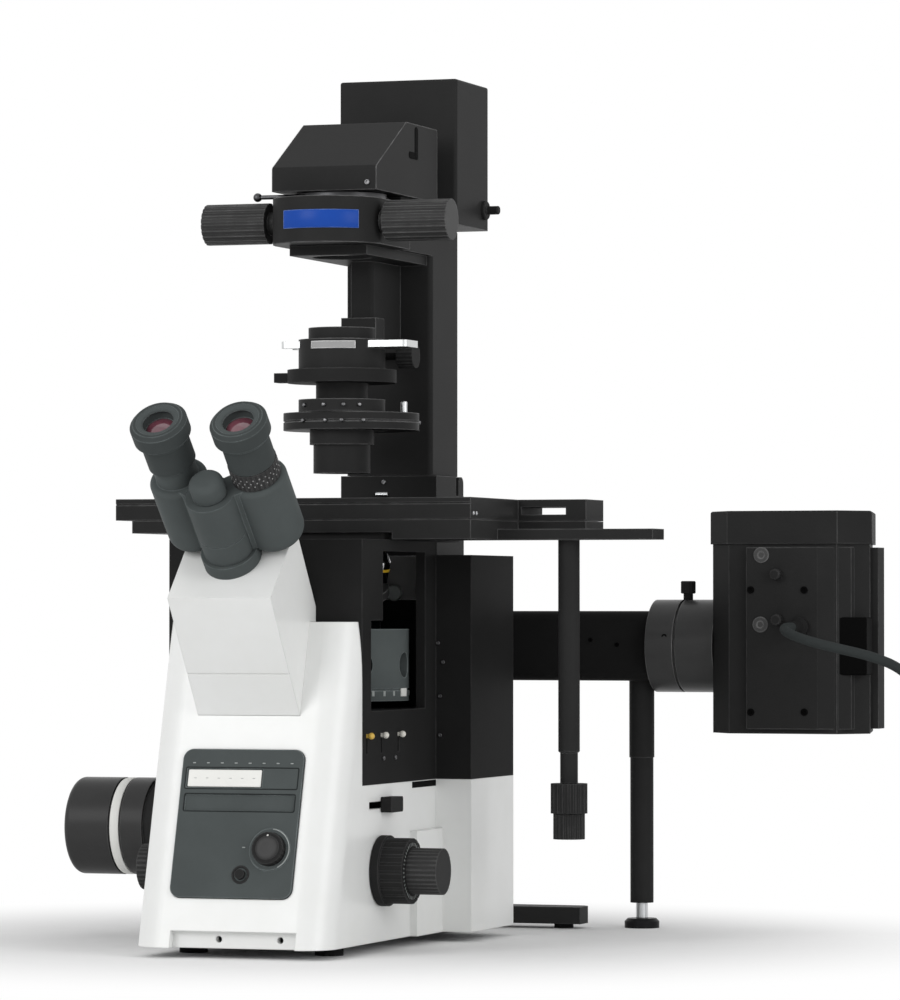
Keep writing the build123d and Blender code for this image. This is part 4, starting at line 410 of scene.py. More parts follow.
STEEL = ((0.62, 0.63, 0.64, 1), (0.52, 0.53, 0.54, 1))
STUD_LOW = 0.0085
brushed_steel = metal("brushed_steel", *STEEL, 0.3)
foot_steel = blackened_below(metal("foot_steel", *STEEL, 0.3), STUD_LOW)
satin_silver = metal("satin_silver", (0.66, 0.67, 0.67, 1), (0.6, 0.61, 0.61, 1), 0.32)
black_steel = metal("black_steel", (0.10, 0.10, 0.105, 1), (0.07, 0.07, 0.072, 1), 0.35)
objective_chrome = metal("objective_chrome", (0.78, 0.78, 0.79, 1), (0.7, 0.7, 0.71, 1), 0.16)
insert_aluminium = metal("insert_aluminium", (0.14, 0.14, 0.15, 1), (0.10, 0.10, 0.11, 1), 0.4)
mirror_silver = metal("mirror_silver", (0.85, 0.86, 0.88, 1), (0.8, 0.81, 0.84, 1), 0.05)
lens_glass = glass("lens_glass", (0.93, 0.88, 0.95, 1))
lamp_glass = glass("lamp_glass", (0.97, 0.97, 0.93, 1), 0.05)
print("bare finishes:", [finish.name for finish in (brushed_steel, objective_chrome, lens_glass)], "and more")

# %% [markdown]
# ## Which node gets which finish
# The solids came in with plain stand-in colours. One table names the finish of each of them,
# and a count at the end shows that none was forgotten. The lever tips are coloured so that
# fingers find them without looking.

# %% Give every node its finish
tip_white = coated("tip_white", seen(226, 224, 216), seen(214, 211, 202), seen(238, 236, 230),
                   0.4, 0.4, 1500.0, 0.1)
tip_yellow = coated("tip_yellow", seen(226, 190, 92), seen(206, 168, 70), seen(240, 214, 140),
                    0.4, 0.4, 1500.0, 0.1)
finishes = {
    white_enamel: ["base_shell", "tube_base_cover"],
    deck_black: ["deck_frame"],
    leg_black: ["rear_outrigger", "support_leg"],
    stage_black: ["stage_base", "stage_y_plate", "stage_x_plate", "pillar", "pillar_base"],
    head_black: ["lens_drum", "head_housing", "lamp_house", "side_port"],
    camera_black: ["camera_body"],
    lamp_black: ["arc_lamp_body", "arc_lamp_cap"],
    tube_black: ["illuminator_tube"],
    condenser_black: ["condenser_holder", "condenser_optics", "condenser_turret", "focus_carriage",
                      "nosepiece"],
    housing_grey: ["left_tube", "right_tube", "binocular_mount"],
    turret_grey: ["mirror_turret"],
    panel_grey: ["control_panel"],
    coupling_grey: ["lamp_coupling"],
    knob_plastic: ["brightness_dial", "panel_button", "port_selector", "coarse_focus_knobs", "condenser_knob",
                   "stage_y_knob", "stage_x_knob", "aperture_ring", "cord_connector"],
    fine_plastic: ["fine_focus_knobs", "diopter_ring"],
    eyepiece_grey: ["left_eyepiece", "right_eyepiece"],
    grip_rubber: ["tilt_grips"],
    foot_rubber: ["rubber_feet", "cord_gland"],
    lead_rubber: ["lamp_cord", "cord_coil"],
    brushed_steel: ["base_plate"],
    foot_steel: ["leg_foot"],
    black_steel: ["field_iris"],
    satin_silver: ["polarizer_slider"],
    objective_chrome: ["objectives"],
    insert_aluminium: ["stage_insert"],
    mirror_silver: ["main_mirror"],
    lens_glass: ["tube_lens"],
    lamp_glass: ["lamp_bulb", "arc_bulb"],
    tip_yellow: ["filter_lever_1"],
    tip_white: ["filter_lever_2", "filter_lever_3"],
}
for finish, names in finishes.items():
    for name in names:
        for holder in nodes[name].material_slots:
            holder.material = finish
dressed = {name for names in finishes.values() for name in names}
print("dressed", len(dressed), "nodes, left over:", sorted(set(nodes) - dressed))

# %% [markdown]
# ## The lamp lead's route
# The lead leaves the lamp housing through its strain relief, swings out to the right and falls
# to the table, where the rest of it is wound into a small coil. A few points draw the free part,
# where gravity decides, and sixteen points each turn. The turns lie three beside each other in
# two layers, a diameter apart.

# %% Lead route
LEAD_D = 8.0
LEAD_EXIT = np.array((337.0, 138.0, 251.0))
FREE_STEPS = [
    (0, 0, 0), (0, -26, 0), (9, -50, -4), (29, -66, -10), (54, -68, -16), (79, -58, -22), (99, -40, -31),
    (112, -21, -48), (118, -6, -73), (118, 4, -103), (115, 10, -137), (112, 15, -171), (110, 23, -201),
    (108, 38, -225), (105, 57, -240), (103, 79, -247), (103, 92, -247),
]
COIL_MIDDLE = np.array((492.0, 241.0))
COIL_R = 44.0
COIL_START, COIL_END = 0.06, 6 + 75 / 360
POINTS_PER_TURN = 16
LATE = 5 / 6
LAST_INSET, LAST_Z = 6.4, 27.0


def coil_points():
    """Clockwise turns: the radius steps by a diameter late in a turn; the height rises by a
    diameter to the second layer, and at the end up to the connector."""
    outer, inner = COIL_R + LEAD_D, COIL_R - LEAD_D
    steps = [0, LATE, 1, 1 + LATE, 2, 3 + LATE, 4, 4 + LATE, 5, 6, COIL_END]
    radii = [outer, outer, COIL_R, COIL_R, inner, inner, COIL_R, COIL_R, outer, outer, outer - LAST_INSET]
    turn = np.linspace(COIL_START, COIL_END, int(COIL_END * POINTS_PER_TURN))
    radius = np.interp(turn, steps, radii) / math.cos(math.pi / POINTS_PER_TURN)
    angle = math.pi * (1 - 2 * turn)
    low, high = 0.5 * LEAD_D, 1.5 * LEAD_D
    height = np.interp(turn, [0, 2 + LATE, 3, 6, COIL_END], [low, low, high, high, LAST_Z])
    flat = COIL_MIDDLE + radius[:, None] * np.stack([np.cos(angle), np.sin(angle)], -1)
    return np.c_[flat, height]


route = np.vstack([LEAD_EXIT + np.array(FREE_STEPS, float), coil_points()])
print("lead:", len(route), "points")

# %% [markdown]
# ## The lead itself
# One NURBS spline with a round bevel carries the whole lead, as one extruded cable would be.
# The spline smooths the corners of its control points, so no bend comes out kinked.

# %% Lead
lead_curve = bpy.data.curves.new("lamp_lead", "CURVE")
lead_curve.dimensions = "3D"
lead_curve.bevel_depth = LEAD_D / 2 * MM
lead_curve.bevel_resolution = 5
lead_curve.use_fill_caps = True
spline = lead_curve.splines.new("NURBS")
spline.points.add(len(route) - 1)
spline.points.foreach_set("co", np.c_[route * MM, np.ones(len(route))].ravel())
spline.order_u = 3
spline.use_endpoint_u = True
spline.resolution_u = 5
lead = bpy.data.objects.new("lamp_lead", lead_curve)
bpy.context.scene.collection.objects.link(lead)
lead_curve.materials.append(lead_rubber)
print("lead is", LEAD_D, "mm thick")

# %% [markdown]
# ## Surfaces from rings
# Every small fitting below is a grid of rings: a profile turned about an axis, a cross-section
# carried round an arc, or a section carried all the way round. One function joins the rings
# into faces and closes both ends; another joins a grid that closes on itself both ways.

# %% Ring surfaces
def joined_rings(rings):
    """Faces of a grid of closed rings: each ring is joined to the next, the end rings are capped."""
    count, sides = rings.shape[:2]
    low = np.arange((count - 1) * sides).reshape(count - 1, sides)
    right = np.roll(low, -1, axis=1)
    quads = np.stack([low, right, right + sides, low + sides], -1).reshape(-1, 4)
    first, last = np.arange(sides)[::-1], np.arange(sides) + (count - 1) * sides
    return rings.reshape(-1, 3), [quads, first[None], last[None]]


def turned(profile, sides=40):
    """Turned piece: ring k has the radius and height of profile point k, at equal angles."""
    profile = np.asarray(profile, float)
    angle = np.linspace(0, 2 * np.pi, sides, endpoint=False)
    ring = np.stack([np.cos(angle), np.sin(angle)], -1)
    flat = profile[:, :1, None] * ring
    return joined_rings(np.concatenate([flat, np.repeat(profile[:, 1:, None], sides, 1)], -1))


def arched(section, start, end, steps=32):
    """Carries a (radius, height) section round the Z axis, between two angles measured from -Y."""
    section = np.asarray(section, float)
    angle = np.radians(np.linspace(start, end, steps))[:, None]
    radius, height = section[:, 0], np.broadcast_to(section[:, 1], (steps, len(section)))
    return joined_rings(np.stack([radius * np.sin(angle), -radius * np.cos(angle), height], -1))


def wrapped(grid):
    """Faces of a grid that is closed both ways, such as a ring with a closed section."""
    rows, columns = grid.shape[:2]
    number = np.arange(rows * columns).reshape(rows, columns)
    next_row, next_column = np.roll(number, -1, 0), np.roll(number, -1, 1)
    faces = np.stack([number, next_column, np.roll(next_row, -1, 1), next_row], -1)
    return grid.reshape(-1, 3), [faces.reshape(-1, 4)]


print("a turned can of two rings has", len(turned([(1, 0), (1, 1)])[0]), "points")

# %% [markdown]
# ## Surfaces from outlines
# Flat fittings are cut from sheet, so they start as an outline. Carrying the outline up through
# a few levels, each set in a little, gives the sheet's thickness and its softened rim.

# %% Plates
def rounded(width, height, radius, steps=6):
    """Outline of a rectangle whose corners are quarter circles."""
    angle = np.linspace(0, np.pi / 2, steps) + np.arange(4)[:, None] * np.pi / 2
    corner = np.array([(1, 1), (-1, 1), (-1, -1), (1, -1)]) * (np.array((width, height)) / 2 - radius)
    return (corner[:, None] + radius * np.stack([np.cos(angle), np.sin(angle)], -1)).reshape(-1, 2)


def stacked(flat, heights):
    """Rings of points: each flat outline gets its own height."""
    return np.concatenate([flat, np.broadcast_to(heights[:, None, None], (*flat.shape[:2], 1))], -1)


def plate(outline, levels):
    """Carries an outline through (inset, height) levels, moving each corner in along its mitre."""
    before = outline - np.roll(outline, 1, 0)
    after = np.roll(outline, -1, 0) - outline
    side = [np.stack([e[:, 1], -e[:, 0]], -1) / np.linalg.norm(e, axis=1)[:, None] for e in (before, after)]
    mitre = (side[0] + side[1]) / (1 + (side[0] * side[1]).sum(1))[:, None]
    inset, height = np.asarray(levels, float).T
    return joined_rings(stacked(outline - inset[:, None, None] * mitre, height))


def band_of(levels):
    """A closed band: outlines at heights, each joined to the next and the last to the first."""
    return wrapped(np.stack([np.c_[outline, np.full(len(outline), height)] for outline, height in levels]))


print("a rounded rectangle has", len(rounded(2, 1, 0.2)), "corners")

# %% [markdown]
# ## Placing pieces
# A shape is drawn about its own Z axis and then turned and moved to its place, with the place
# kept in the mesh and the object left at the origin. Each piece is told which moving body it
# rides on and which finish it wears.

# %% Placing helpers
CREASE = math.radians(32)


def placed(shape, origin, out=(0, 0, 1)):
    """Turns a shape so that its +Z points along out and its +Y as nearly upwards as it can."""
    out = np.array(out, float) / np.linalg.norm(out)
    up = np.array((0, 0, 1.0)) if abs(out[2]) < 0.99 else np.array((0, 1.0, 0))
    right = np.cross(up, out) / np.linalg.norm(np.cross(up, out))
    return shape[0] @ np.array([right, np.cross(out, right), out]) + np.array(origin, float), shape[1]


def merged(*shapes):
    """Several shapes as one: the points are stacked and the blocks of face numbers moved on."""
    starts = np.cumsum([0] + [len(points) for points, _ in shapes])
    blocks = [block + start for start, (_, blocks) in zip(starts, shapes) for block in blocks]
    return np.vstack([points for points, _ in shapes]), blocks


def add_piece(name, shape, finish, body):
    """Puts a shape, in mm, into the scene: faces outwards, soft shading up to the crease angle."""
    mesh = bpy.data.meshes.new(name)
    mesh.from_pydata((shape[0] * MM).tolist(), [], [face for block in shape[1] for face in block.tolist()])
    work = bmesh.new()
    work.from_mesh(mesh)
    bmesh.ops.recalc_face_normals(work, faces=work.faces)
    work.to_mesh(mesh)
    work.free()
    mesh.polygons.foreach_set("use_smooth", np.ones(len(mesh.polygons), bool))
    mesh.set_sharp_from_angle(angle=CREASE)
    mesh.materials.append(finish)
    piece = bpy.data.objects.new(name, mesh)
    bpy.context.scene.collection.objects.link(piece)
    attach(piece, body)
    print(name, len(mesh.polygons), "faces")
    return piece


print("creases start at", round(math.degrees(CREASE)), "degrees")

# %% [markdown]
# ## The tie on the coil
# A short soft strap holds the turns together. It is an oval band round the bundle, so a
# rectangle's outline with round corners is carried through a thin width.

# %% Tie
TIE_HALF = 4.0
TIE_LIFT = 0.8
strap = rounded(3 * LEAD_D + 3.0, 2 * LEAD_D + 1.5, 5.0)
inner = rounded(3 * LEAD_D + 0.6, 2 * LEAD_D - 0.9, 3.8)
ring = band_of([(strap, -TIE_HALF), (strap, TIE_HALF), (inner, TIE_HALF), (inner, -TIE_HALF)])
tie = add_piece("lead_tie", placed(ring, (*(COIL_MIDDLE - (0, COIL_R)), LEAD_D + TIE_LIFT), (1, 0, 0)),
                foot_rubber, "stand")
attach(lead, "stand")
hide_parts("lamp_cord", "cord_coil")

# %% [markdown]
# ## The plate on the lens drum
# A thin blue enamelled plate is bent round the front of the drum. It would be punched from
# sheet, enamelled and rolled. Here its cross-section, a flat strip with softened edges, is
# carried round the drum's own arc.

# %% Drum plate
# Its third colour lights the plate's edges: rubbed wear and a painted sheen.
plate_blue = coated("plate_blue", seen(30, 74, 164), seen(27, 70, 158), seen(150, 172, 214),
                    0.3, 0.1, 900.0, 0.03, wear_and_sheen=1.0)
DRUM_R, DRUM_Y = 45.0, -30.0
PLATE_LOW, PLATE_HIGH = 568.0, 583.0
strip = [(DRUM_R - 0.3, PLATE_LOW), (DRUM_R + 0.7, PLATE_LOW + 0.2), (DRUM_R + 1.0, PLATE_LOW + 0.8),
         (DRUM_R + 1.0, PLATE_HIGH - 0.8), (DRUM_R + 0.7, PLATE_HIGH - 0.2), (DRUM_R - 0.3, PLATE_HIGH)]
bent = arched(strip, -31.9, 51.3)
add_piece("drum_plate", placed(bent, (0, DRUM_Y, 0)), plate_blue, "pillar_arm")

# %% [markdown]
# ## Eyepieces
# Looking into an eyepiece shows a purple-red glint, the reflection in the coating on the eye
# lens. Here it is painted: the lens is an opaque dome whose purple-red colour is a painted
# reflection. Round it the rubber cup rolls inwards. The lens is a dome, a turned profile with the
# sagitta of a sphere, and the roll is a closed section carried all the way round.

# %% Eye lenses and cup rolls
EYE_AXIS = np.array((0, -math.sqrt(0.5), math.sqrt(0.5)))
EYE_SIDE = np.array((0, math.sqrt(0.5), math.sqrt(0.5)))
TUBE_SEAT = np.array((0, -240.0, 304.0))
EYE_HALF_SPACING, EYE_RAISED = 32.25, 21.0
CUP_FLOOR, CUP_TOP = 117.0, 126.0
LENS_R, LENS_SAGITTA = 11.2, 2.6


def eye_point(side, along):
    """A point on the left (-1) or right (1) eyepiece axis, at this distance from the tube's seat."""
    return TUBE_SEAT + (side * EYE_HALF_SPACING, 0, 0) + EYE_RAISED * EYE_SIDE + along * EYE_AXIS


def hoop(section, sides=48):
    """Carries a closed (radius, height) section all the way round the Z axis."""
    section = np.asarray(section, float)
    angle = np.linspace(0, 2 * np.pi, sides, endpoint=False)[:, None]
    height = np.broadcast_to(section[:, 1], (sides, len(section)))
    return wrapped(np.stack([section[:, 0] * np.cos(angle), section[:, 0] * np.sin(angle), height], -1))


def oval(radius, height, half_width, half_height, points=14):
    """An oval section: centre, half width and half height."""
    angle = np.linspace(0, 2 * np.pi, points, endpoint=False)
    return np.stack([radius + half_width * np.cos(angle), height + half_height * np.sin(angle)], -1)


# Opaque paint: the purple-red colour and its pinker patches are a painted reflection of the coating.
painted_lens_glint = coated("painted_lens_glint", seen(74, 34, 46), seen(150, 92, 104), seen(150, 92, 104),
                   0.05, 0.9, 60.0, 0.02, wear_and_sheen=0.0)
cup_rubber = dark("cup_rubber", 84, GREENISH, roughness=0.6, grain=1300.0, depth=0.3)
dome_r = np.linspace(LENS_R, 0.4, 10)
dome = np.r_[[(LENS_R, -0.4)], np.stack([dome_r, LENS_SAGITTA * (1 - (dome_r / LENS_R) ** 2)], -1)]
roll = hoop(oval(15.6, CUP_TOP - 2.4, 3.6, 2.3))
for side, word in ((-1, "left"), (1, "right")):
    body = word + "_view"
    lens = placed(turned(dome), eye_point(side, CUP_FLOOR), EYE_AXIS)
    add_piece(word + "_eye_lens", lens, painted_lens_glint, body)
    cup = placed(roll, eye_point(side, 0), EYE_AXIS)
    add_piece(word + "_cup_roll", cup, cup_rubber, body)

# %% [markdown]
# ## Dots on the diopter ring
# The ring that adjusts one eyepiece is dotted so that it doesn't slip under a finger. On a real
# one the dots are moulded on. Here one low stud is copied round the ring in three staggered rows.

# %% Diopter dots
DIOPTER_R, DOT_ROW_Z, DOT_ROW_STEP = 18.95, 73.0, 3.0
DOT_ANGLE = 15


def spread(shape, radius, angles, height):
    """Copies of a shape round the Z axis, one at each angle from -Y, all looking outwards."""
    turns = np.radians(angles)
    outs = np.stack([np.sin(turns), -np.cos(turns), 0 * turns], -1)
    return merged(*[placed(shape, radius * out + (0, 0, height), out) for out in outs])


dot = turned([(0.55, -0.4), (0.55, 0.15), (0.3, 0.25)], 12)
dots = merged(*[spread(dot, DIOPTER_R, np.arange(0, 360, DOT_ANGLE) + row * DOT_ANGLE / 2,
                       DOT_ROW_Z + row * DOT_ROW_STEP) for row in range(3)])
dots = placed(dots, eye_point(1, 0), EYE_AXIS)
add_piece("diopter_dots", dots, dark("dot_grey", 128), "diopter")

# %% [markdown]
# ## The front panel
# On the sloping panel lie a white card in its frame and a row of index marks. They are thin
# plates set on the panel's plane, so one helper gives a place on that plane from a sideways
# distance and a height.

# %% Card and marks
LEAN = math.atan2(70.0, 248.0)
PANEL_OUT = np.array((0, -math.cos(LEAN), math.sin(LEAN)))
PANEL_FACE = 2.0
FRONT_FOOT_Y, FRONT_FOOT_Z = -256.0, 8.0
CARD_Z, MARKS_Z = 136.0, 147.5


def on_panel(x, z, proud=0.0):
    """A point on the panel's face at this height, moved out of it by proud."""
    y = FRONT_FOOT_Y + (z - FRONT_FOOT_Z) * math.tan(LEAN)
    return np.array((x, y, z)) + (PANEL_FACE + proud) * PANEL_OUT


def on_front(shape, *spot):
    """A shape laid on the panel at a sideways distance and a height."""
    return placed(shape, on_panel(*spot), PANEL_OUT)


card_white = coated("card_white", seen(238, 238, 234), seen(230, 230, 226), seen(244, 244, 240),
                    0.6, 0.3, 1200.0, 0.05)
# Light grey paint for the marks, also used for the dial rim's painted highlight.
mark_and_highlight_paint = coated("mark_and_highlight_paint", seen(176, 182, 180), seen(158, 164, 162), seen(190, 190, 190),
                    0.5, 0.3, 1500.0, 0.05)
card = plate(rounded(60.0, 13.4, 0.8), [(0, 0), (0, 0.8), (0.3, 1.0)])
add_piece("panel_card", on_front(card, -14, CARD_Z, -1.2), card_white, "stand")
mark = plate(rounded(2.6, 1.0, 0.4, 3), [(0, -0.1), (0.1, 0.15)])
faint = plate(rounded(2.2, 0.5, 0.2, 3), [(0, -0.1), (0.1, 0.1)])
row = [on_front(mark, x, MARKS_Z) for x in np.linspace(-40, 40, 8)]
row += [on_front(faint, x, CARD_Z, -0.2) for x in np.linspace(-38, 10, 6)]
row.append(on_front(mark, 7.5, 84))
add_piece("panel_marks", merged(*row), mark_and_highlight_paint, "stand")

# %% [markdown]
# ## Dial and switch
# The lamp's dial has a metal rim round it, a pointer and a glossy dished cap, and the switch
# sits in a round collar. Of the rim only a crescent of light paint is drawn, a painted highlight
# where the rim catches the light. The pointer and the cap ride on the dial, so they turn with
# it, while the painted crescent stays on the panel.

# %% Dial and switch trim
DIAL = (29, 82.5)
SWITCH = (7, 63.5)
dial_gloss = dark("dial_gloss", 44, specular=0.15, roughness=0.3)
# A crescent of light paint on part of the rim: the painted highlight of the dial's metal rim.
rim_highlight = arched([(15.5, 1.0), (16.3, 1.0), (16.3, 1.4), (15.5, 1.4)], 30, 175, 40)
add_piece("dial_rim_highlight", on_front(rim_highlight, *DIAL), mark_and_highlight_paint, "stand")
pointer = plate(rounded(1.6, 5.0, 0.7), [(0, 6.0), (0.2, 6.75)])
pointer = placed(pointer, (-0.5, 8.2, 0))
add_piece("dial_pointer", on_front(pointer, *DIAL), card_white, "dial")
cap = turned([(9.6, 6.0), (9.6, 6.6), (8.6, 7.0), (5.0, 6.75), (0.5, 6.6)])
add_piece("dial_cap", on_front(cap, *DIAL), dial_gloss, "dial")
collar = hoop([(5.0, -0.3), (7.2, -0.3), (7.2, 0.2), (6.6, 0.7), (5.4, 0.4)], 40)
add_piece("button_collar", on_front(collar, *SWITCH), knob_plastic, "stand")

# %% [markdown]
# ## Seams in the panel
# Two narrow dark lines frame the card and the strip below it, where covers meet the panel. Each
# is a flat frame: an outline and the same one set in by the line's width, joined both ways round.

# %% Panel seams
SEAM = 0.9


def outlined(width, height):
    """A flat frame: a rounded outline and one set in by the seam's width, joined both ways round."""
    outer, inner = rounded(width, height, 1.6), rounded(width - 2 * SEAM, height - 2 * SEAM, 0.8)
    return band_of([(outer, -0.2), (outer, 0.12), (inner, 0.12), (inner, -0.2)])


seam_grey = dark("seam_grey", 50, GREENISH, wear_and_sheen=0.0)
seams = [on_front(outlined(93.0, 17.6), 0.0, CARD_Z), on_front(outlined(91.6, 14.6), 0.0, 117.5)]
add_piece("panel_seams", merged(*seams), seam_grey, "stand")

# %% [markdown]
# ## The camera's band
# A pale band sits in the groove of the round camera on the left port. It is a closed section,
# crowned a little, carried all the way round the camera's axis.

# %% Camera band
FRONT, RIGHT = (0, -1, 0), (1, 0, 0)
BAND_MIDDLE = (-182.25, 0, 89.0)
crown = [(37.4, -3.8), (39.0, -3.8), (39.35, -2.6), (39.45, 0), (39.35, 2.6), (39.0, 3.8), (37.4, 3.8)]
add_piece("camera_band", placed(hoop(crown, 72), BAND_MIDDLE, RIGHT), card_white, "stand")

# %% [markdown]
# ## Screws and a stop pin
# Screws hold plates everywhere on such a stand. One turned profile serves all of them: a low
# head with a rounded rim and a sunk socket. Lists of places, each with the direction that its
# face looks in, put them where the real ones are.

# %% Screws
LAMP_PLATE_Y, TUBE_FRONT_Y, SHOULDER_Y = 162.0, 200.0, 0.0
BODY_SIDE_X, STAGE_SIDE_X = 80.0, 147.0


def screw(radius, height=1.2):
    """A cap screw's head: rounded rim, then down into a socket half as wide."""
    return turned([(radius, -0.6), (radius, 0.7 * height), (0.85 * radius, height),
                   (0.5 * radius, height), (0.45 * radius, 0.25 * height)], 20)


def screws(places):
    """Screws as one shape, each with its radius, its place and the way its head looks."""
    return merged(*[placed(screw(radius), place, out) for radius, place, out in places])


lamp_screws = [
    (3.0, (296.0, LAMP_PLATE_Y, 281.3), FRONT), (3.0, (341.0, LAMP_PLATE_Y, 281.2), FRONT),
    (3.0, (296.0, LAMP_PLATE_Y, 181.6), FRONT), (3.0, (341.0, LAMP_PLATE_Y, 181.9), FRONT),
    (1.8, (147.0, TUBE_FRONT_Y, 240.0), FRONT), (1.8, (170.0, TUBE_FRONT_Y, 236.0), FRONT),
    (2.6, (213.6, 191.5, 242.5), FRONT),
]
deck_screws = [
    (1.6, (82.1, SHOULDER_Y, 238.6), FRONT), (1.6, (86.3, SHOULDER_Y, 223.4), FRONT),
    (1.6, (83.8, SHOULDER_Y, 196.2), FRONT), (1.6, (83.8, SHOULDER_Y, 165.0), FRONT),
    (1.7, (BODY_SIDE_X, -124.0, 150.0), RIGHT), (1.7, (BODY_SIDE_X, -97.0, 150.0), RIGHT),
    (1.9, (-4.2, 112.0, 370.6), FRONT),
]
grey_fixing = metal("grey_fixing", (0.2, 0.2, 0.205, 1), (0.15, 0.15, 0.155, 1), 0.35)
add_piece("lamp_screws", screws(lamp_screws), black_and_slot_shade, "stand")
add_piece("deck_screws", screws(deck_screws), grey_fixing, "stand")
stage_screws = [placed(screw(1.6, 0.9), (STAGE_SIDE_X, y, 340.5), RIGHT) for y in (-104.0, -97.0)]
add_piece("stage_screws", merged(*stage_screws), brushed_steel, "stage_x")
head_screw = placed(screw(2.2, 1.4), (36.9, -42.0, 606.0), FRONT)
add_piece("head_screw", head_screw, grey_fixing, "pillar_arm")
bar = turned([(1.4, -5.5), (2.1, -5.0), (2.1, 5.0), (1.4, 5.5)], 24)
add_piece("pillar_stop_pin", placed(bar, (-5.7, 111.2, 360.3), RIGHT), brushed_steel, "stand")

# %% [markdown]
# ## Fittings of the rear lamp
# The rear lamp housing has adjusters that centre the lamp, discs beside them, and a thumb screw
# that clamps the coupling. Small knobs get a fluted rim: their radius swings with the cosine of
# many times the angle, as a knurling tool would leave it.

# %% Rear lamp fittings
def fluted(radius, low, high, flutes, depth=0.35):
    """A fluted knob: the ring's radius swings by depth with the cosine of flutes times the angle."""
    angle = np.linspace(0, 2 * np.pi, 6 * flutes, endpoint=False)
    swing = radius - depth * (1 - np.cos(flutes * angle)) / 2
    ring = np.stack([np.cos(angle), np.sin(angle)], -1)
    radii = np.array([swing - 0.8, swing, swing, swing - 0.8])
    return joined_rings(stacked(radii[..., None] * ring, np.array([low, low + 0.7, high - 0.7, high])))


disc = turned([(6.5, -0.5), (6.5, 0.5), (6.0, 0.9), (3.0, 1.0), (2.6, 0.5), (0.5, 0.5)])
discs = [placed(disc, (x, LAMP_PLATE_Y, z), FRONT) for x, z in ((304.9, 309.8), (304.0, 253.1))]
add_piece("lamp_discs", merged(*discs), dark("disc_grey", 74), "stand")
adjuster = fluted(4.6, -0.5, 8.0, 12)
adjusters = [placed(adjuster, (x, LAMP_PLATE_Y, z), FRONT) for x, z in ((318.0, 294.0), (319.0, 257.0))]
add_piece("lamp_adjusters", merged(*adjusters), knob_plastic, "stand")
thumb = merged(turned([(4.0, 262.0), (4.0, 279.5)], 24), fluted(6.2, 278.5, 289.0, 16))
add_piece("coupling_thumb_screw", placed(thumb, (223.5, 228.0, 0.0)), knob_plastic, "stand")

# %% [markdown]
# ## Fittings of the head
# A small knob sits on the upper lamp box, and a dark slot shows in the head's side. The slot is
# an upright and a foot, two thin plates in a black that hardly reflects: painted shade that
# stands in for the slot's depth.

# %% Head fittings
LAMP_SIDE_X, HEAD_SIDE_X = 51.5, 44.5
boss = turned([(8.0, -0.5), (8.0, 2.6), (7.2, 3.5), (3.6, 3.5), (3.6, 13.0), (2.9, 13.8), (0.4, 13.9)], 32)
add_piece("lamp_box_knob", placed(boss, (LAMP_SIDE_X, 205.0, 600.5), RIGHT),
          knob_plastic, "pillar_arm")
upright = plate(rounded(8.0, 26.0, 3.4), [(0, -0.4), (0.2, 0.25)])
foot = plate(rounded(22.0, 6.0, 2.6), [(0, -0.4), (0.2, 0.3)])
# Two near-black plates: painted shade for the slot's depth.
slot_shade = merged(placed(upright, (HEAD_SIDE_X, 54.0, 645.0), RIGHT),
              placed(foot, (HEAD_SIDE_X, 47.0, 634.0), RIGHT))
add_piece("head_slot_shade", slot_shade, black_and_slot_shade, "pillar_arm")

# %% [markdown]
# ## Wall slot, plug block and field lens
# The base has a narrow slot under the deck, drawn as a near-black plate: painted shade for its
# depth. The lamp housing has a black block where a plug goes in. Under the head's drum sits the
# field lens, a shallow turned dome of glass.

# %% Slot, block and lens
# A near-black plate: painted shade for the slot's depth.
wall_slot_shade = plate(rounded(57.0, 5.0, 1.0), [(0, -0.4), (0.1, 0.3)])
wall_slot_shade = placed(wall_slot_shade, (BODY_SIDE_X, -28.5, 127.0), RIGHT)
add_piece("wall_slot_shade", wall_slot_shade, black_and_slot_shade, "stand")
block = plate(rounded(26.0, 47.0, 1.5), [(0, -18.0), (0, -0.8), (0.8, 0.0)])
add_piece("socket_block", placed(block, (378.5, 168.5, 235.5), FRONT), black_and_slot_shade, "stand")
lens = turned([(26.8, 557.3), (26.8, 559.5), (18.0, 560.4), (9.0, 560.9), (0.5, 561.0)], 56)
add_piece("field_lens", lens, lens_glass, "pillar_arm")

# %% [markdown]
# ## Objective bands
# Each objective carries a coloured band that tells its power, and all six point away from the
# nosepiece's apex. A band is a closed section carried round, stood on each objective's own axis;
# the axes come from turning the vertical one about the nosepiece's axis in steps of 60 degrees.

# %% Objective bands
NOSE_APEX = np.array((0, 0, 147.0))
NOSE_TILT = math.radians(15)
NOSE_AXIS = np.array((0, -math.sin(NOSE_TILT), math.cos(NOSE_TILT)))
SEAT_L, BAND_ABOVE_SEAT = 147.0, 9.0


def objective_axis(index):
    """The vertical turned about the nosepiece's axis by 60 degrees for each step."""
    turn = math.radians(-60.0 * index)
    start = np.array((0, 0, 1.0))
    return (start * math.cos(turn) + np.cross(NOSE_AXIS, start) * math.sin(turn)
            + NOSE_AXIS * (NOSE_AXIS @ start) * (1 - math.cos(turn)))


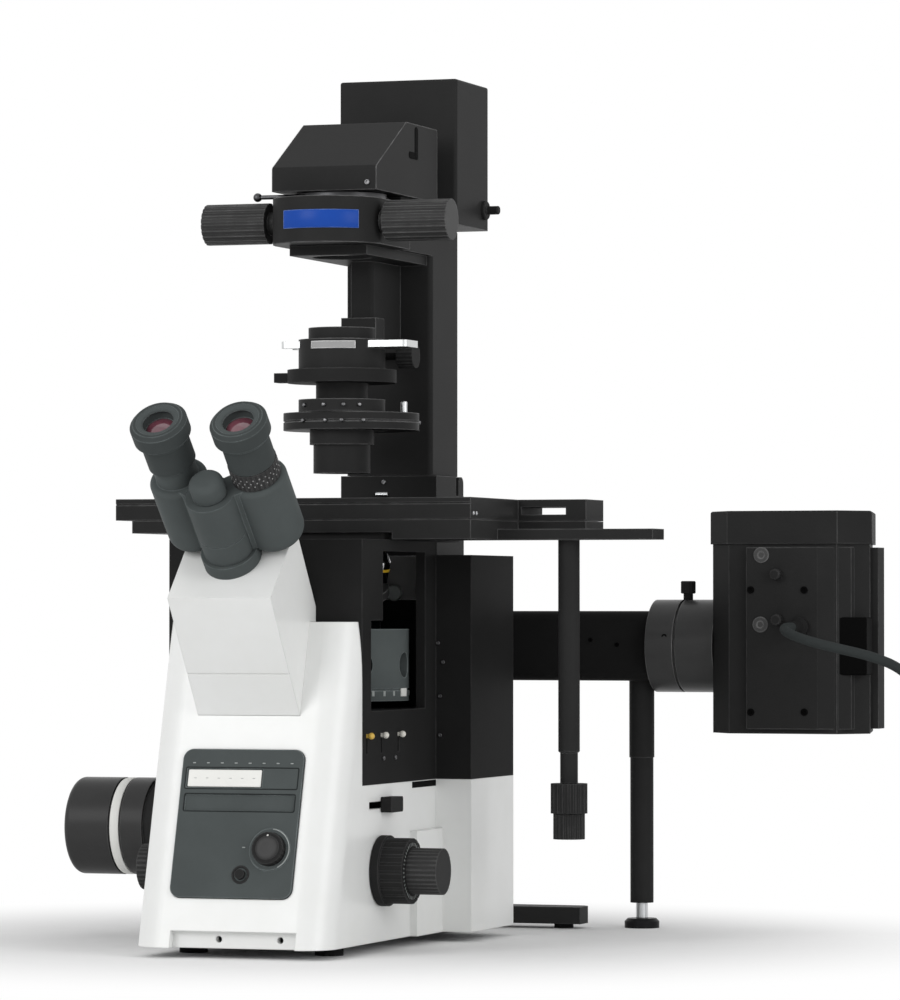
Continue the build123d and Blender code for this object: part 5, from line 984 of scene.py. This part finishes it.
band = hoop([(11.6, 0), (12.15, 0.1), (12.25, 1.2), (12.15, 2.3), (11.6, 2.4)], 40)
hues = {"red": (190, 48, 40), "yellow": (222, 182, 48), "green": (60, 140, 76), "blue": (64, 110, 190),
        "pale": (222, 222, 216), "dark": (40, 40, 42)}
for index, (hue, shade) in enumerate(hues.items()):
    axis = objective_axis(index)
    paint = coated("band_" + hue, seen(*shade), seen(*(0.9 * np.array(shade))), seen(*shade),
                   0.35, 0.4, 1500.0, 0.05)
    around = placed(band, NOSE_APEX + (SEAT_L + BAND_ABOVE_SEAT) * axis, axis)
    add_piece("objective_band_" + hue, around, paint, "nose")

# %% [markdown]
# ## Condenser trim
# The condenser's rings carry short pins to turn them by, an upright post and a bright strip on
# the holder. Pins and post are turned; the strip is a thin section carried round part of the
# holder's arc.

# %% Condenser trim
pin = turned([(1.6, -1.5), (1.6, 1.6), (1.1, 2.1), (0.3, 2.2)], 16)
pins = spread(pin, 55.0, [-24, -2, 12, 30, 120, 180, 240], 417.0)
add_piece("turret_pins", placed(pins, (0, 22.0, 0)), grey_fixing, "condenser_disc")
post = turned([(2.6, 422.0), (2.6, 432.5), (2.0, 433.2), (0.4, 433.4)], 24)
add_piece("turret_post", placed(post, (46.0, 20.0, 0.0)), brushed_steel, "condenser_disc")
add_piece("deck_pins", spread(pin, 35.0, [-37, -4, 22, 43], 429.5), grey_fixing, "condenser")
strip = arched([(34.6, 474.5), (35.5, 474.5), (35.5, 480.5), (34.6, 480.5)], -24, 38)
add_piece("holder_strip", strip, dark("strip_grey", 168), "condenser")

# %% [markdown]
# ## Turret scale and focus ticks
# The mirror turret has a white position tag and a row of short marks round its foot, and the
# coarse knob's face has a ring of ticks. They would be engraved and filled with paint. Here each
# is a very thin piece of an arc that rides on the turning part.

# %% Scales
TURRET_MIDDLE = (0, -35.0, 0)
TURRET_R = 65.5
KNOB_FACE = (106.25, -130.0, 63.0)
TICK_WIDE = 2.0


def tick_ring(section, angles):
    """One short arc of the section at each angle."""
    return merged(*[arched(section, angle, angle + TICK_WIDE, 2) for angle in angles])


tag = arched([(TURRET_R, 196.5), (66.6, 196.5), (66.6, 203.0), (TURRET_R, 203.0)], 83.0, 93.0, 6)
add_piece("turret_tag", placed(tag, TURRET_MIDDLE), card_white, "cube_turret")
tick = [(TURRET_R, 197.0), (66.25, 197.0), (66.25, 201.0), (TURRET_R, 201.0)]
ticks = tick_ring(tick, [angle for angle in range(3, 360, 10) if not 80 < angle < 95])
add_piece("turret_ticks", placed(ticks, TURRET_MIDDLE), mark_and_highlight_paint, "cube_turret")
ticks = tick_ring([(19.5, 0), (22.0, 0), (22.0, 0.15), (19.5, 0.15)], range(0, 360, 9))
add_piece("focus_ticks", placed(ticks, KNOB_FACE, RIGHT), mark_and_highlight_paint, "coarse")

# %% [markdown]
# ## Behind the objectives
# Through the deck's window a light grey plate and a round clamp show behind the objectives. They
# are a plate cut from sheet and a turned knob, both fixed to the stand.

# %% Window plate and clamp
back_plate = plate(rounded(37.0, 36.0, 1.0), [(0, -0.4), (0, 1.6), (0.4, 2.0)])
add_piece("window_plate", placed(back_plate, (40.5, 36.0, 291.0), FRONT),
          dark("plate_grey", 140), "stand")
clamp = turned([(3.4, -2.0), (3.4, 2.0), (6.0, 2.4), (6.4, 3.0), (6.4, 6.0), (5.6, 6.8), (0.6, 6.9)], 32)
add_piece("window_clamp", placed(clamp, (34.3, 34.0, 278.7), FRONT), mark_and_highlight_paint, "stand")
